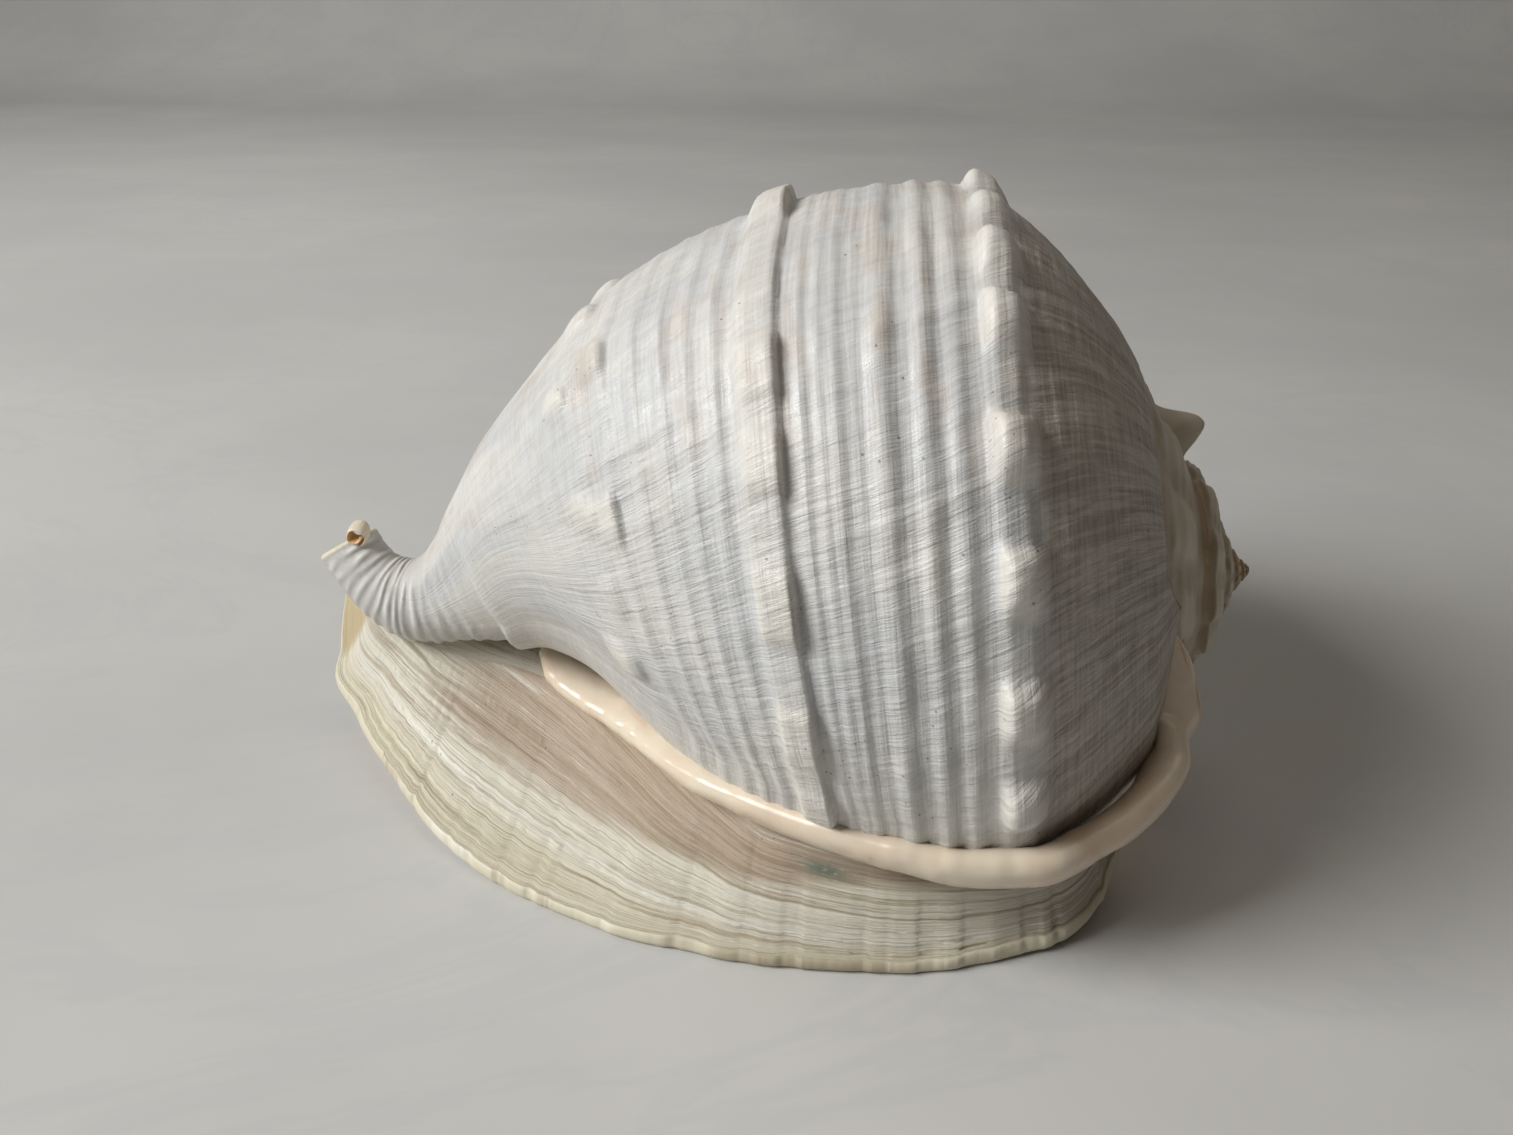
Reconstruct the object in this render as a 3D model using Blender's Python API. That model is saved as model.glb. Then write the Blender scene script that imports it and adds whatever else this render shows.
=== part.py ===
"""Queen helmet shell: one solid grown in one piece, resting on its broad shield and on its outer lip.

The shell lies along X with the apex at +X and the siphonal canal at -X. +Z is up and the floor is z = 0.
Angles about the coiling axis start at the near side (-Y) and turn over the top: 90 degrees is straight up,
180 is the far side and 270 is straight down. The shell grows that way round, up to the lip at about 262.
Lengths below are drawing millimetres. SIZE turns them into metres.
"""

import bmesh
import bpy
import numpy as np

# Size and place
SIZE = 1.08e-3
ORIGIN = np.array([0.18, -3.97, 0.0])
AXIS_HEIGHT = 66.0

# Last whorl and canal: position along the axis, smooth radius, height and far-side offset of the section's
# centre, and how far the sections of the canal tip over towards the apex and then lean to the far side
PROFILE_AT = [-119, -116, -110, -104, -98, -93, -88, -80, -70, -61, -51, -42, -29,
              -16, -4, 9, 26, 42, 51, 57, 64.5, 72.6, 79.6, 86.8, 94.5, 99]
PROFILE_RADIUS = [8.8, 8.5, 8.9, 10.2, 12, 14.2, 17.3, 24, 31, 39, 50.5, 60, 69.5,
                  76.5, 81.5, 86, 89.5, 90.5, 90, 88, 83, 76, 68.3, 59.5, 47, 38]
CENTRE_AT = [-119, -116, -113, -110, -104, -98, -93, -88, -80, -70, -61, 99]
CENTRE_HEIGHT = [55.3, 52.6, 50.2, 47.6, 44.3, 42.3, 43.3, 47, 55, 64, 66, 66]
CENTRE_SIDE = [8, 5.6, 3.6, 2.2, 0.6, 0, 0, 0, 0, 0, 0, 0]
TILT_AT = [-119, -116, -110, -104, -98, -92, 99]
TILT_DEG = [62, 52, 38, 20, 4, 0, 0]
LEAN_AT = [-119, -110, -100, -90, 99]
LEAN_DEG = [38, 28, 12, 0, 0]
NARROW_AT = [-119, -75, -54, -47, -30, -11, 8, 26, 50, 99]
NARROW_SHARE = [0, 0, 0.02, 0.02, 0.01, 0, 0, 0.01, 0, 0.02]
SIDE_SHARE = 0.045
VENTRAL_DEPTH = 52.0
SHIELD_ANGLE = -34.0
LIP_ANGLE = 262.0

# How far each row runs towards the apex where it dives under the callus
DIVE_AT = [-119, -98, -76, -40, 4, 54, 82, 96]
DIVE_SHIFT = [0, 0, 14, 24, 17, 10.5, 10.5, 6]
DIVE_FROM = 65.0
DIVE_TO = -20.0
ROW_RISE = -4.0

# Raised rows and cords: position, half width, height
SHOULDER_ROW = (54.0, 5.0, 1.4)
SHOULDER_KNOB = 3.4
KNOB_STEP = 16.4
KNOB_START = 8.0
MIDDLE_ROW = (4.3, 4.6, 2.6)
MIDDLE_BLOCK = 1.1
FRONT_ROW = (-39.0, 4.2, 0.8)
FRONT_BLOCK = 1.8
CORDS = [(44.3, 2.8, 1.4), (37.7, 3.2, 1.7), (29.2, 3.8, 2.0), (19, 2.8, 1.1), (13.2, 2.2, 0.8),
         (-5.2, 2.7, 1.0), (-11.3, 2.8, 1.0), (-17.2, 2.8, 1.0), (-23.8, 2.9, 1.0), (-31.2, 3.0, 1.1)]
CANAL_RIBS = [-84, -89, -94, -99, -104.5, -110]
CANAL_RIB_HALF = 2.4
CANAL_RIB_HEIGHT = 0.9
FOLD_AT = -77.5
FOLD_DROP = 3.0

# Spire: the turns before the last one
SPIRE_AT = [80, 88, 92, 97, 103, 108, 112.5, 116, 119, 121.5, 124, 127.5]
SPIRE_RADIUS = [56, 48, 44, 37.5, 33, 27, 22, 16.5, 11, 6.5, 3.4, 0.9]
SPIRE_MIDDLE = [66, 64.5, 63.5, 63, 63.3, 62.8, 62.3, 62, 62, 62.3, 63, 64]
SPIRE_TIP = 128.0
SPIRE_SUTURE = 16.5
SPIRE_GROWTH = 1.9
SPIRE_STEP = 2.1
SPINE = (110.5, 98.0, 36.5)

# Parietal shield, from its back end round its outer edge to the canal: outer edge, crest and aperture edge
SHIELD_T = [0, 0.06, 0.12, 0.18, 0.25, 0.32, 0.40, 0.48, 0.56, 0.62, 0.68, 0.75, 0.82, 0.90, 0.96, 1]
SHIELD_OUT_X = [97, 100, 98, 92, 79, 64, 41, 14, -19, -37, -57, -77, -95, -117, -128, -126]
SHIELD_OUT_Y = [8, -15, -38, -56, -72, -78.5, -84.5, -85.5, -81.5, -75.5, -67, -54, -36.5, -12, 4, 14]
SHIELD_OUT_Z = [12, 12, 8, 5, 2, 1, 0, 0, 0, 0, 1, 3, 6, 10, 14, 34]
SHIELD_TOP_X = [92, 93, 92, 88, 76, 63, 41, 15, -12, -32, -52, -72, -88, -102, -111, -114]
SHIELD_TOP_Y = [5, -13, -30, -47, -64, -70, -70, -61, -42, -26, -14, -8, -6, -3, 0, 3]
SHIELD_TOP_Z = [18, 20, 22, 25, 27, 27.5, 27, 26, 25, 25, 25.5, 27, 29, 33, 38, 44]
SHIELD_SLIT_X = [80, 76, 71, 65, 56, 46, 33, 20, 5, -8, -22, -40, -62, -88, -106, -112]
SHIELD_SLIT_Y = [20, 12, 7, 5, 4, 4, 4, 4, 3, 2, 1, 1, 2, 4, 6, 8]
SHIELD_SLIT_Z = [0, 0, 0, 0, 0, 0, 0, 0, 0, 0, 0, 2, 6, 14, 22, 30]
SHIELD_WALL_Z = [20, 20, 20, 20, 20, 20, 20, 20, 20, 21, 24, 28, 32, 36, 40, 45]
SHIELD_EDGE = 3.2
FLAT_CUT = 0.9
HOLLOW_RISE = 2.8
FOLD_COUNT = 11
FOLD_DEPTH = 1.6

# Outer lip, from its back end along the far side to the canal
LIP_T = [0, 0.12, 0.25, 0.4, 0.55, 0.7, 0.82, 0.92, 1]
LIP_OUT_X = [97, 88, 69, 38, 5, -30, -60, -84, -104]
LIP_OUT_Y = [14, 50, 75, 83, 76, 58, 39, 24, 14]
LIP_OUT_Z = [10, 4, 0, 0, 0, 0, 3, 14, 32]
LIP_WALL_Z = [21, 22, 23, 23, 23, 26, 33, 42, 50]
LIP_SLIT_Z = [0, 0, 0, 0, 0, 2, 7, 18, 33]
LIP_SLIT_X = [80, 68, 49, 22, -6, -34, -58, -82, -104]
LIP_SLIT_Y = [4, 18, 22, 22, 20, 16, 13, 10, 8]
LIP_ROLL = 13.0
LIP_INSET = 9.0
LIP_BULGE = 4.2
LIP_RISE = 2.0
TOOTH_COUNT = 11
TOOTH_DEPTH = 2.4

# Callus band along the join of the whorl and the shield: centre line and half sizes
BAND_X = [-58, -50, -40.7, -27.4, -8.7, 7.5, 24.2, 39.8, 55, 68, 80, 88, 95, 99.5, 101.5, 100.5, 97, 94.5]
BAND_Y = [-4, -12, -20, -32, -51, -62.5, -71, -77, -80.5, -80.5, -74, -68.5, -62, -54, -47, -42, -40, -39]
BAND_Z = [31, 28, 26.5, 26, 26.5, 28, 28.5, 29, 29.5, 31, 33, 35, 38.5, 42.5, 49, 58, 67, 73]
BAND_WIDE = [4, 7.5, 7.5, 6.5, 6, 6, 6.5, 6.5, 6.5, 6.5, 6.5, 7, 7.5, 7.5, 7, 5.5, 3.5, 1.5]
BAND_THICK = 4.0

# Hollow
WALL = 5.0
HOLLOW_DEPTH = 44.5
SLOT_FROM = -6.0
SLOT_TO = 34.0
SLOT_EASE = 1.2
GROOVE_HALF = 2.3
GROOVE_REACH = 5.0
GROOVE_TURN = 248.0


def smooth(x, at, value):
    """Curve through the points (at, value) that never swings past them."""
    at = np.asarray(at, float)
    value = np.asarray(value, float)
    if at[0] > at[-1]:
        at = at[::-1]
        value = value[::-1]
    step = np.diff(at)
    rise = np.diff(value) / step
    slope = np.concatenate([rise[:1], np.zeros(len(at) - 2), rise[-1:]])
    same = rise[:-1] * rise[1:] > 0
    slope[1:-1][same] = (2 * rise[:-1] * rise[1:])[same] / (rise[:-1] + rise[1:])[same]
    i = np.clip(np.searchsorted(at, x) - 1, 0, len(at) - 2)
    t = np.clip((x - at[i]) / step[i], 0, 1)
    return (value[i] * (1 + 2 * t) * (1 - t) ** 2 + slope[i] * step[i] * t * (1 - t) ** 2
            + value[i + 1] * t**2 * (3 - 2 * t) + slope[i + 1] * step[i] * t**2 * (t - 1))


def ease(t):
    """0 to 1 with level ends."""
    t = np.clip(t, 0, 1)
    return t * t * (3 - 2 * t)


def bump(x):
    """1 at the middle, 0 from one half width out."""
    return np.clip(1 - x * x, 0, 1) ** 1.5


def flat_bump(x):
    """Bump with a flat top and steep sides."""
    return np.clip(1.6 * (1 - np.abs(x) ** 3), 0, 1)


def shown(phi):
    """1 where the last whorl is open to view, 0 under the shield and the lip."""
    return ease((phi - SHIELD_ANGLE) / 8) * ease((LIP_ANGLE - phi) / 10)


def shift(u, phi):
    """Distance that the rows at u have moved along the axis at the angle phi."""
    dive = smooth(u, DIVE_AT, DIVE_SHIFT)
    near = dive * np.clip((DIVE_FROM - phi) / (DIVE_FROM - DIVE_TO), 0, 1) ** 1.3
    rise = ease((u + 75) / 20) * ROW_RISE * (1 - ease((u - 60) / 39))
    moved = near + rise * phi / LIP_ANGLE
    back = rise + (dive - rise) * (phi - LIP_ANGLE) / 73
    return np.where(phi > LIP_ANGLE, back, moved)


def knob(phi, step, share, start=0.0):
    """Row of rounded knobs along phi. share is the part of each step that a knob takes."""
    off = (phi - start) / step
    return bump((off - np.round(off)) * 2 / share)


def relief(u, phi):
    """Height of the cords, rows and knobs over the smooth whorl."""
    at, half, high = SHOULDER_ROW
    size = 0.85 + 0.2 * np.sin(phi * 0.071 + 0.6) + 0.1 * np.sin(phi * 0.31)
    knobs = SHOULDER_KNOB * size * knob(phi, KNOB_STEP, 1.0, KNOB_START)
    total = bump((u - at) / half) * (high + knobs)
    at, half, high = MIDDLE_ROW
    block = MIDDLE_BLOCK * knob(phi, KNOB_STEP * 1.5, 1.1, KNOB_START)
    total = total + flat_bump((u - at) / half) * (high + block)
    at, half, high = FRONT_ROW
    block = knob(phi, KNOB_STEP * 2, 0.9, KNOB_START) * ease((150 - phi) / 60)
    total = total + bump((u - at) / half) * (high + FRONT_BLOCK * block)
    for at, half, high in CORDS:
        total = total + high * bump((u - at) / half)
    total = total * shown(phi)
    for at in CANAL_RIBS:
        total = total + CANAL_RIB_HEIGHT * bump((u - at) / CANAL_RIB_HALF)
    return total


def fold(u, phi):
    """Drop of the canal's root below the edge of the whorl that laps over it on the near side."""
    return FOLD_DROP * ease((FOLD_AT - u) / 3) * ease((u + 104) / 20) * ease((60 - phi) / 40)


def whorl_radius(u, phi):
    """Smooth radius of the last whorl about its section centre, flattened underneath."""
    a = np.radians(phi)
    radius = smooth(u, PROFILE_AT, PROFILE_RADIUS)
    body = ease((u + 90) / 30)
    low = ease((20 - np.degrees(np.arcsin(np.sin(a)))) / 80)
    radius = radius * (1 - SIDE_SHARE * np.cos(a) * body)
    radius = radius * (1 - smooth(u, NARROW_AT, NARROW_SHARE) * low * (0.75 + 0.25 * np.cos(a)))
    return radius - fold(u, phi)


def flattened(radius, phi, depth):
    """Radius limited by a level plane at depth under the centre, with a rounded corner."""
    down = np.maximum(-np.sin(np.radians(phi)), 0.02)
    return (radius**-12.0 + (depth / down) ** -12.0) ** (-1 / 12.0)


def section_axes(u):
    """Near-side and upward directions of the section at u."""
    tilt = np.radians(smooth(u, TILT_AT, TILT_DEG))
    lean = np.radians(smooth(u, LEAN_AT, LEAN_DEG))
    near = np.stack([0 * u, -np.cos(lean), np.sin(lean)], axis=-1)
    up = np.stack([np.sin(tilt), np.cos(tilt) * np.sin(lean), np.cos(tilt) * np.cos(lean)], axis=-1)
    return near, up


def place(u, phi, radius, moved):
    """Points at radius from the bent axis."""
    a = np.radians(phi)
    near, up = section_axes(u)
    side = smooth(u, CENTRE_AT, CENTRE_SIDE)
    centre = np.stack([u + moved, side, smooth(u, CENTRE_AT, CENTRE_HEIGHT)], axis=-1)
    return centre + (radius * np.cos(a))[..., None] * near + (radius * np.sin(a))[..., None] * up


def whorl_points(u, phi):
    radius = flattened(whorl_radius(u, phi) + relief(u, phi), phi, VENTRAL_DEPTH)
    return place(u, phi, radius, shift(u, phi))


def hollow_points(u, phi):
    radius = flattened(np.maximum(whorl_radius(u, phi) - WALL, 3), phi, HOLLOW_DEPTH)
    return place(u, phi, radius, shift(u, phi))


def spire_points(x, phi):
    """Older turns: a cone with a spiral groove, a knobbed shoulder on each turn and one long spine."""
    cone = smooth(x, SPIRE_AT, SPIRE_RADIUS)
    back = SPIRE_TIP - x
    turn = np.log(np.maximum(back, 0.3) / SPIRE_SUTURE) / np.log(SPIRE_GROWTH) - phi / 360
    f = turn - np.floor(turn)
    swell = ease(f / 0.5) * ease((1.0 - f) / 0.25)
    knobs = bump((f - 0.6) / 0.4) * knob(phi, KNOB_STEP * 2, 0.9, KNOB_START)
    size = SPIRE_STEP * np.minimum(1, cone / 22)
    radius = cone + size * (swell - 0.4 + knobs)
    at, angle, high = SPINE
    off = (phi - angle + 180) % 360 - 180
    spine = np.where(x < at, np.maximum(high - radius, 0), 0) * bump(off / 14)
    radius = radius + spine
    a = np.radians(phi)
    middle = smooth(x, SPIRE_AT, SPIRE_MIDDLE)
    return np.stack([x + 0 * phi, -radius * np.cos(a), middle + radius * np.sin(a)], axis=-1)


def shield_points(t, v):
    """Section of the shield at t.

    v runs along the underside from the aperture to the rim (0 to 1), up to the crest (1 to 2) and back over
    the top to the wall of the aperture (2 to 3). The underside dips just under the floor along its rim,
    where the cut at z = 0 leaves the flat strip that the shell rests on.
    """
    out = [smooth(t, SHIELD_T, row) for row in (SHIELD_OUT_X, SHIELD_OUT_Y, SHIELD_OUT_Z)]
    top = [smooth(t, SHIELD_T, row) for row in (SHIELD_TOP_X, SHIELD_TOP_Y, SHIELD_TOP_Z)]
    slit = [smooth(t, SHIELD_T, row) for row in (SHIELD_SLIT_X, SHIELD_SLIT_Y)]
    w = np.clip(v, 0, 1)
    folds = FOLD_DEPTH * np.sin(np.pi * np.clip(t * 1.25 - 0.1, 0, 1)) * np.cos(2 * np.pi * FOLD_COUNT * t)
    near_slit = ease((0.12 - w) / 0.12)
    x = slit[0] + (out[0] - slit[0]) * w
    y = slit[1] + (out[1] - slit[1]) * w + near_slit * folds
    strip = ease((w - 0.45) / 0.38)
    slit_z = smooth(t, SHIELD_T, SHIELD_SLIT_Z)
    z = out[2] * w**2 + slit_z * (1 - w) ** 2 - FLAT_CUT * strip + HOLLOW_RISE * (1 - strip)
    z = z + near_slit * (1.5 - 0.6 * folds)
    r = np.clip(v - 1, 0, 1)
    lift = SHIELD_EDGE + (top[2] - out[2] - SHIELD_EDGE) * r**1.35
    up_x = out[0] + (top[0] - out[0]) * r
    up_y = out[1] + (top[1] - out[1]) * r
    up_z = out[2] + lift
    s = np.clip(v - 2, 0, 1)
    end_z = smooth(t, SHIELD_T, SHIELD_WALL_Z)
    in_x = top[0] + (slit[0] - top[0]) * s
    in_y = top[1] + (slit[1] + folds - top[1]) * s
    in_z = top[2] + (end_z - top[2]) * ease(s / 0.3)
    second = (v > 1)[..., None]
    third = (v > 2)[..., None]
    first = np.stack([x, y, z], axis=-1)
    mid = np.stack([up_x, up_y, up_z], axis=-1)
    last = np.stack([in_x, in_y, in_z], axis=-1)
    return np.where(third, last, np.where(second, mid, first))


def lip_points(t, v):
    """Section of the outer lip at t: from the toothed edge out to the rolled rim, then back over the top."""
    out = [smooth(t, LIP_T, row) for row in (LIP_OUT_X, LIP_OUT_Y, LIP_OUT_Z)]
    slit = [smooth(t, LIP_T, row) for row in (LIP_SLIT_X, LIP_SLIT_Y)]
    w = np.clip(v, 0, 1)
    reach = np.sin(np.pi * np.clip(t * 1.1 - 0.02, 0, 1)) ** 0.5
    teeth = TOOTH_DEPTH * reach * np.cos(2 * np.pi * TOOTH_COUNT * t)
    near_slit = ease((0.35 - w) / 0.3)
    x = slit[0] + (out[0] - slit[0]) * w
    y = slit[1] + (out[1] - slit[1]) * w - near_slit * teeth
    strip = ease((w - 0.5) / 0.2)
    slit_z = smooth(t, LIP_T, LIP_SLIT_Z)
    z = out[2] * w**2 + slit_z * (1 - w) ** 2 - FLAT_CUT * strip + LIP_RISE * (1 - strip)
    z = z + near_slit * (2.5 - 0.7 * teeth)
    r = np.clip(v - 1, 0, 1)
    a = np.pi * 0.5 * r
    up_x = out[0]
    inset = np.minimum(LIP_INSET, 0.45 * (out[1] - slit[1]))
    up_y = out[1] + LIP_BULGE * np.sin(np.pi * r) - inset * (1 - np.cos(a))
    up_z = out[2] + LIP_ROLL * np.sin(a) + 0.3
    s = np.clip(v - 2, 0, 1)
    in_x = out[0] + (slit[0] - out[0]) * s
    in_y = out[1] - inset + (slit[1] - teeth - out[1] + inset) * s
    wall = smooth(t, LIP_T, LIP_WALL_Z)
    in_z = out[2] + LIP_ROLL + 0.3 + (wall - out[2] - LIP_ROLL - 0.3) * ease(s / 0.3)
    second = (v > 1)[..., None]
    third = (v > 2)[..., None]
    first = np.stack([x, y, z], axis=-1)
    mid = np.stack([up_x + 0 * r, up_y, up_z], axis=-1)
    last = np.stack([in_x, in_y, in_z], axis=-1)
    return np.where(third, last, np.where(second, mid, first))


def carried(path, wide, thick, out_of, count):
    """Oval section carried along a path. Its thickness points away from the points out_of."""
    tangent = np.gradient(path, axis=0)
    tangent = tangent / np.linalg.norm(tangent, axis=1, keepdims=True)
    away = path - out_of
    away = away - tangent * np.sum(away * tangent, axis=1, keepdims=True)
    away = away / np.linalg.norm(away, axis=1, keepdims=True)
    across = np.cross(tangent, away)
    a = np.linspace(0, 2 * np.pi, count, endpoint=False)[None, :, None]
    sideways = across[:, None] * wide[:, None, None] * np.cos(a)
    upwards = away[:, None] * thick[:, None, None] * np.sin(a)
    return path[:, None] + sideways + upwards


def band_points(count, around):
    t = np.linspace(0, 1, count)
    at = np.linspace(0, 1, len(BAND_X))
    path = np.stack([smooth(t, at, row) for row in (BAND_X, BAND_Y, BAND_Z)], axis=-1)
    wide = smooth(t, at, BAND_WIDE)
    thick = np.minimum(BAND_THICK, wide * 0.8)
    centre = path * [1, 0, 0] + [-6, 0, AXIS_HEIGHT + 20]
    return carried(path, wide, thick, centre, around)


def slot_points(stations):
    """Channel of the aperture between the shield and the lip, from under the floor up into the hollow."""
    x = np.asarray(stations, float)
    near = smooth(x, SHIELD_SLIT_X, SHIELD_SLIT_Y) - SLOT_EASE
    far = smooth(x, LIP_SLIT_X, LIP_SLIT_Y) + SLOT_EASE
    low = np.full_like(x, SLOT_FROM)
    high = np.full_like(x, SLOT_TO)
    return np.stack([np.stack([x, near, low], -1), np.stack([x, far, low], -1),
                     np.stack([x, far, high], -1), np.stack([x, near, high], -1)], axis=1)


def groove_points(stations):
    """Open groove along the canal, on its far lower side."""
    u = np.asarray(stations, float)
    a = np.radians(GROOVE_TURN)
    centre = place(u, 0 * u, 0 * u, 0 * u)
    side, up = section_axes(u)
    out = np.cos(a) * side + np.sin(a) * up
    over = -np.sin(a) * side + np.cos(a) * up
    reach = (smooth(u, PROFILE_AT, PROFILE_RADIUS) + GROOVE_REACH)[:, None]
    half = GROOVE_HALF
    return np.stack([centre - half * over, centre + reach * out - half * over * 1.3,
                     centre + reach * out + half * over * 1.3, centre + half * over], axis=1)


def closed_mesh(name, grid, material):
    """Solid from rings of points: quads between neighbouring rings and a fan over each end."""
    rings, around = grid.shape[:2]
    ends = np.stack([grid[0].mean(axis=0), grid[-1].mean(axis=0)])
    points = (np.concatenate([grid.reshape(-1, 3), ends]) + ORIGIN) * SIZE
    i, j = np.meshgrid(np.arange(rings - 1), np.arange(around), indexing="ij")
    k = (j + 1) % around
    quads = np.stack([i * around + j, i * around + k, (i + 1) * around + k, (i + 1) * around + j], -1)
    quads = quads.reshape(-1, 4)
    j = np.arange(around)
    k = (j + 1) % around
    first = np.stack([np.full(around, rings * around), k, j], -1)
    end = (rings - 1) * around
    last = np.stack([np.full(around, rings * around + 1), end + j, end + k], -1)
    mesh = bpy.data.meshes.new(name)
    mesh.from_pydata(points.tolist(), [], quads.tolist() + first.tolist() + last.tolist())
    work = bmesh.new()
    work.from_mesh(mesh)
    bmesh.ops.triangulate(work, faces=work.faces)
    if work.calc_volume(signed=True) < 0:
        bmesh.ops.reverse_faces(work, faces=work.faces)
    work.to_mesh(mesh)
    work.free()
    mesh.materials.append(material)
    thing = bpy.data.objects.new(name, mesh)
    bpy.context.scene.collection.objects.link(thing)
    return thing


def helper(thing):
    thing.hide_render = True
    thing.display_type = "WIRE"
    return thing


def join(target, other, operation):
    """One Boolean of the target with a helper, which itself isn't shown."""
    helper(other)
    modifier = target.modifiers.new(other.name, "BOOLEAN")
    modifier.operation = operation
    modifier.solver = "EXACT"
    modifier.object = other


def around_grid(function, stations, angles):
    u, phi = np.meshgrid(np.asarray(stations, float), np.asarray(angles, float), indexing="ij")
    return function(u, phi)


def whorl_stations():
    """Rings at each crest and in each valley of the relief, and sparse rings between."""
    crests = [at for at, _, _ in CORDS]
    rows = crests + [(a + b) / 2 for a, b in zip(crests[:-1], crests[1:]) if abs(a - b) < 10]
    at, half, _ = SHOULDER_ROW
    rows += [at - half, at - 0.4 * half, at + 0.4 * half, at + half]
    at, half, _ = MIDDLE_ROW
    rows += [at - 0.97 * half, at - 0.74 * half, at + 0.74 * half, at + 0.97 * half, at + half + 2.8]
    at, half, _ = FRONT_ROW
    rows += [at - half, at, at + half]
    rows += CANAL_RIBS + [(a + b) / 2 for a, b in zip(CANAL_RIBS[:-1], CANAL_RIBS[1:])]
    rows += [-119, -114.5, -79.8, -77.5, -72, -66, -60, -54, -48, 66, 73, 79, 85, 89, 92]
    return sorted(rows)


def floor_block(name, across, deep):
    """Block whose top face is the floor."""
    mesh = bpy.data.meshes.new(name)
    work = bmesh.new()
    bmesh.ops.create_cube(work, size=1.0)
    bmesh.ops.scale(work, vec=(across, across, deep), verts=work.verts)
    bmesh.ops.translate(work, vec=(0, 0, -deep / 2), verts=work.verts)
    work.to_mesh(mesh)
    work.free()
    thing = bpy.data.objects.new(name, mesh)
    bpy.context.scene.collection.objects.link(thing)
    return thing


def build():
    for thing in list(bpy.data.objects):
        bpy.data.objects.remove(thing, do_unlink=True)
    shell_material = bpy.data.materials.new("shell")
    shell_material.use_nodes = True
    principled = shell_material.node_tree.nodes["Principled BSDF"]
    principled.inputs["Base Color"].default_value = (0.78, 0.76, 0.72, 1)
    principled.inputs["Roughness"].default_value = 0.4

    def solid(name, grid):
        return closed_mesh(name, grid, shell_material)

    step = KNOB_STEP / 2
    angles = list(np.arange(KNOB_START - 5 * step, LIP_ANGLE, step)) + [271, 285, 299, 313]
    shell = solid("shell", around_grid(whorl_points, whorl_stations(), angles))

    stations = [83, 89, 93, 96, 98.5, 101, 103.5, 106, 108, 110, 111.5, 113, 115, 117, 119, 121, 123.5, 127.5]
    angles = np.arange(KNOB_START, KNOB_START + 359, step * 1.25)
    join(shell, solid("spire", around_grid(spire_points, stations, angles)), "UNION")

    stations = [-66, -54, -40, -25, -8, 10, 30, 50, 60, 68, 76, 83, 89]
    angles = np.arange(-15, 345, 24)
    join(shell, solid("hollow", around_grid(hollow_points, stations, angles)), "DIFFERENCE")
    stations = [74, 60, 40, 20, 0, -20, -40, -60, -80, -100]
    join(shell, solid("slot", slot_points(stations)), "DIFFERENCE")
    stations = [-58, -70, -80, -88, -96, -104, -110, -116, -125]
    join(shell, solid("groove", groove_points(stations)), "DIFFERENCE")

    t = np.linspace(0, 1, 32)
    v = [0, 0.12, 0.35, 0.6, 0.8, 0.95, 1.0, 1.1, 1.35, 1.65, 2.0, 2.4, 3.0]
    join(shell, solid("shield", around_grid(shield_points, t, v)), "UNION")
    t = np.linspace(0, 1, 2 * TOOTH_COUNT + 1)
    v = [0, 0.2, 0.35, 0.5, 0.7, 1.0, 1.25, 1.5, 1.75, 2.0, 2.5, 3.0]
    join(shell, solid("lip", around_grid(lip_points, t, v)), "UNION")
    join(shell, solid("band", band_points(26, 10)), "UNION")
    join(shell, floor_block("below", 0.5, 0.05), "DIFFERENCE")


build()
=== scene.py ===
# %% [markdown]
# # A queen helmet shell
# A queen helmet is the shell of a large sea snail. It is one piece of chalky stone, laid down turn after turn
# from the pointed spire forward: a big last whorl with rows of knobs and cords, a short canal bent upwards at
# the front, and underneath a broad shield and a thick toothed lip, which the shell rests on.
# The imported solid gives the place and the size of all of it, so it is loaded before anything is made.

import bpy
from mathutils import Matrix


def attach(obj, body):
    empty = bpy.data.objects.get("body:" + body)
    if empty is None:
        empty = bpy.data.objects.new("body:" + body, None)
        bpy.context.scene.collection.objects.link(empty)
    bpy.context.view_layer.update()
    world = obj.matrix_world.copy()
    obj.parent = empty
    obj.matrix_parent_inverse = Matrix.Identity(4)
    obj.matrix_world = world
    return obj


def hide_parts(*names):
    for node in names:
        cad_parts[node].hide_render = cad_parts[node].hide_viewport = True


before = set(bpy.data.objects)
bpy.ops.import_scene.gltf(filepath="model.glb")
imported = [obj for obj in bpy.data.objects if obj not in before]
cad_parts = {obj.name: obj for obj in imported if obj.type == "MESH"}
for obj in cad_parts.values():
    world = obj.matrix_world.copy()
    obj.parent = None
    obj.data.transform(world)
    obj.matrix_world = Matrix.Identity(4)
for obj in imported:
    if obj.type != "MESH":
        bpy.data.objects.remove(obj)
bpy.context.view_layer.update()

# %% [markdown]
# ## Units and curves
# The shell was drawn in millimetres round its coiling axis: x runs along the axis towards the apex, and an
# angle phi turns round it, from the near side (0) over the top (90) to the far side (180) and down (270).
# Every form is a surface over a grid of two numbers, worked out as whole arrays. Three small curves do most
# of the work: a smooth table for measured outlines, an ease for fading, and a bump for ridges.

import bpy
import numpy as np
from mathutils import Vector

SIZE = 1.08e-3
ORIGIN = np.array([0.18, -3.97, 0.0])


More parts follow.
